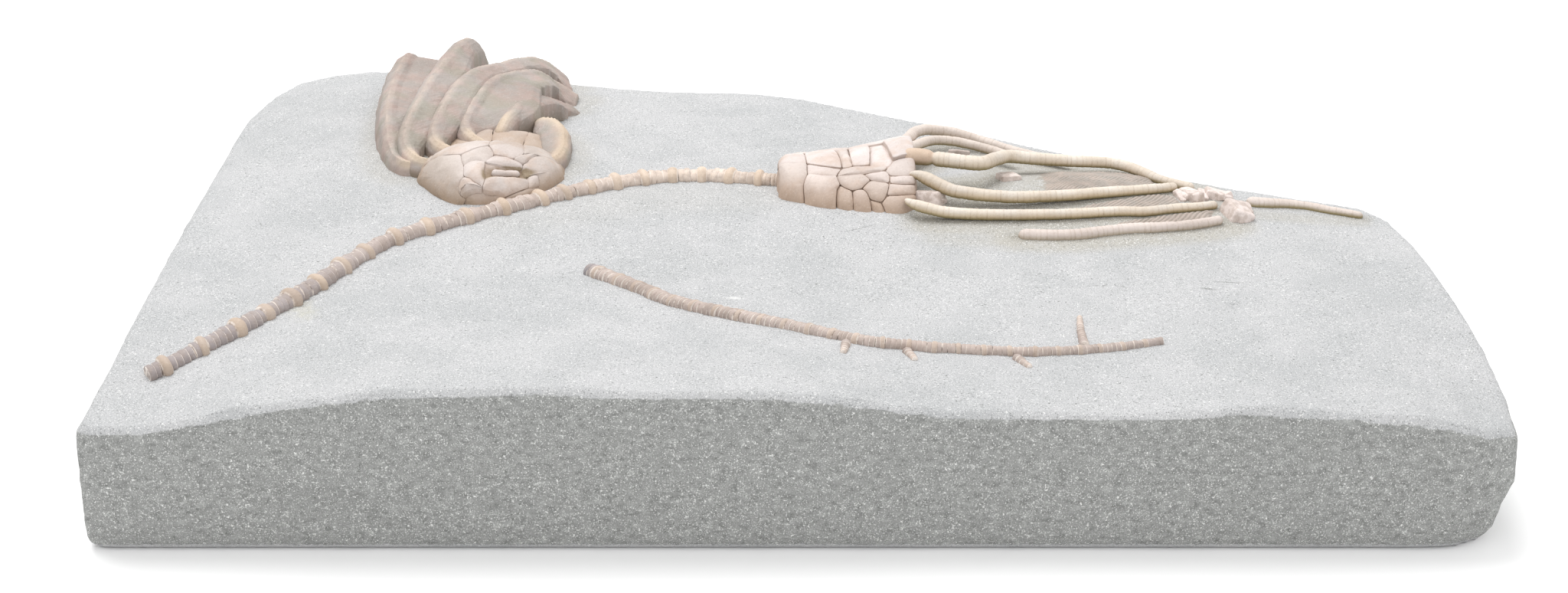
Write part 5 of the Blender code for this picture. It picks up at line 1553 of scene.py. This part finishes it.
class FOSSIL_OT_stage(bpy.types.Operator):
    """Sets the pale floor, the soft light and the camera at the photo's angle"""
    bl_idname = "fossil.stage"
    bl_label = "Stage"
    FLOOR_SIZE = 6.0
    SKY_STRENGTH = 0.98
    # Soft lights: diameter, place and power
    LIGHTS = {"key_light": (1.0, (-0.3, 0.5, 1.25), 13.5), "fill_light": (1.2, (0.4, -1.0, 1.1), 3.4)}

    def execute(self, context):
        scene = context.scene
        deselect()
        bpy.ops.mesh.primitive_plane_add(size=self.FLOOR_SIZE, location=(0, 0, 0))
        floor = context.active_object
        floor.name = "stage_floor"
        material, shading, shader = new_material("stage_floor", 0.95)
        soft = shading.noise(shading.coordinates(), 400.0, 1.0)
        pale = scene.plate_colours.floor
        shading.feed(shader["Base Color"], shading.mix(soft, pale, shade(pale, 0.97)))
        floor.data.materials.append(material)
        world = bpy.data.worlds.new("studio")
        scene.world = world
        world.use_nodes = True
        sky = world.node_tree.nodes["Background"].inputs
        sky["Color"].default_value = (1.0, 1.0, 1.0, 1.0)
        sky["Strength"].default_value = self.SKY_STRENGTH
        for name, (size, place, power) in self.LIGHTS.items():
            self.soft_light(name, size, place, power)
        camera = bpy.data.cameras.new("photo_camera")
        camera.sensor_width = SENSOR_WIDTH
        camera.lens = FOCAL_PIXELS * SENSOR_WIDTH / FRAME_WIDTH
        camera.clip_start = 0.01
        holder = bpy.data.objects.new("photo_camera", camera)
        scene.collection.objects.link(holder)
        holder.location = CAMERA_PLACE
        holder.rotation_euler = (math.radians(CAMERA_TILT), 0, 0)
        scene.camera = holder
        scene.view_settings.view_transform = "Standard"
        return {"FINISHED"}

    def soft_light(self, name, size, place, power):
        deselect()
        bpy.ops.object.light_add(type="AREA", location=place)
        light = bpy.context.active_object
        light.name = name
        light.data.shape = "DISK"
        light.data.size = size
        light.data.energy = power
        light.rotation_euler = (-Vector(place)).to_track_quat("-Z", "Y").to_euler()


STEPS = (FOSSIL_OT_stage, FOSSIL_OT_slab, FOSSIL_OT_long_stem, FOSSIL_OT_short_stem, FOSSIL_OT_right_cup,
         FOSSIL_OT_right_arms, FOSSIL_OT_fans, FOSSIL_OT_chips, FOSSIL_OT_left_cup, FOSSIL_OT_left_arms)


class FOSSIL_PT_plate(bpy.types.Panel):
    """The steps that make the plate, and the sizes and colours they use"""
    bl_label = "Fossil plate"
    bl_idname = "FOSSIL_PT_plate"
    bl_space_type = "VIEW_3D"
    bl_region_type = "UI"
    bl_category = "Fossil plate"

    def draw(self, context):
        for step in STEPS:
            self.layout.operator(step.bl_idname)
        for title, kind, values in (("Sizes", PlateSizes, context.scene.plate_sizes),
                                    ("Colours", PlateColours, context.scene.plate_colours)):
            box = self.layout.box()
            box.label(text=title)
            for name in kind.__annotations__:
                box.prop(values, name)


CLASSES = (PlateSizes, PlateColours, *STEPS, FOSSIL_PT_plate)


def register():
    for kind in CLASSES:
        bpy.utils.register_class(kind)
    bpy.types.Scene.plate_sizes = PointerProperty(type=PlateSizes)
    bpy.types.Scene.plate_colours = PointerProperty(type=PlateColours)


def unregister():
    del bpy.types.Scene.plate_colours
    del bpy.types.Scene.plate_sizes
    for kind in reversed(CLASSES):
        bpy.utils.unregister_class(kind)


def main():
    register()
    for step in STEPS:
        group, name = step.bl_idname.split(".")
        getattr(getattr(bpy.ops, group), name)()


if __name__ == "__main__":
    main()
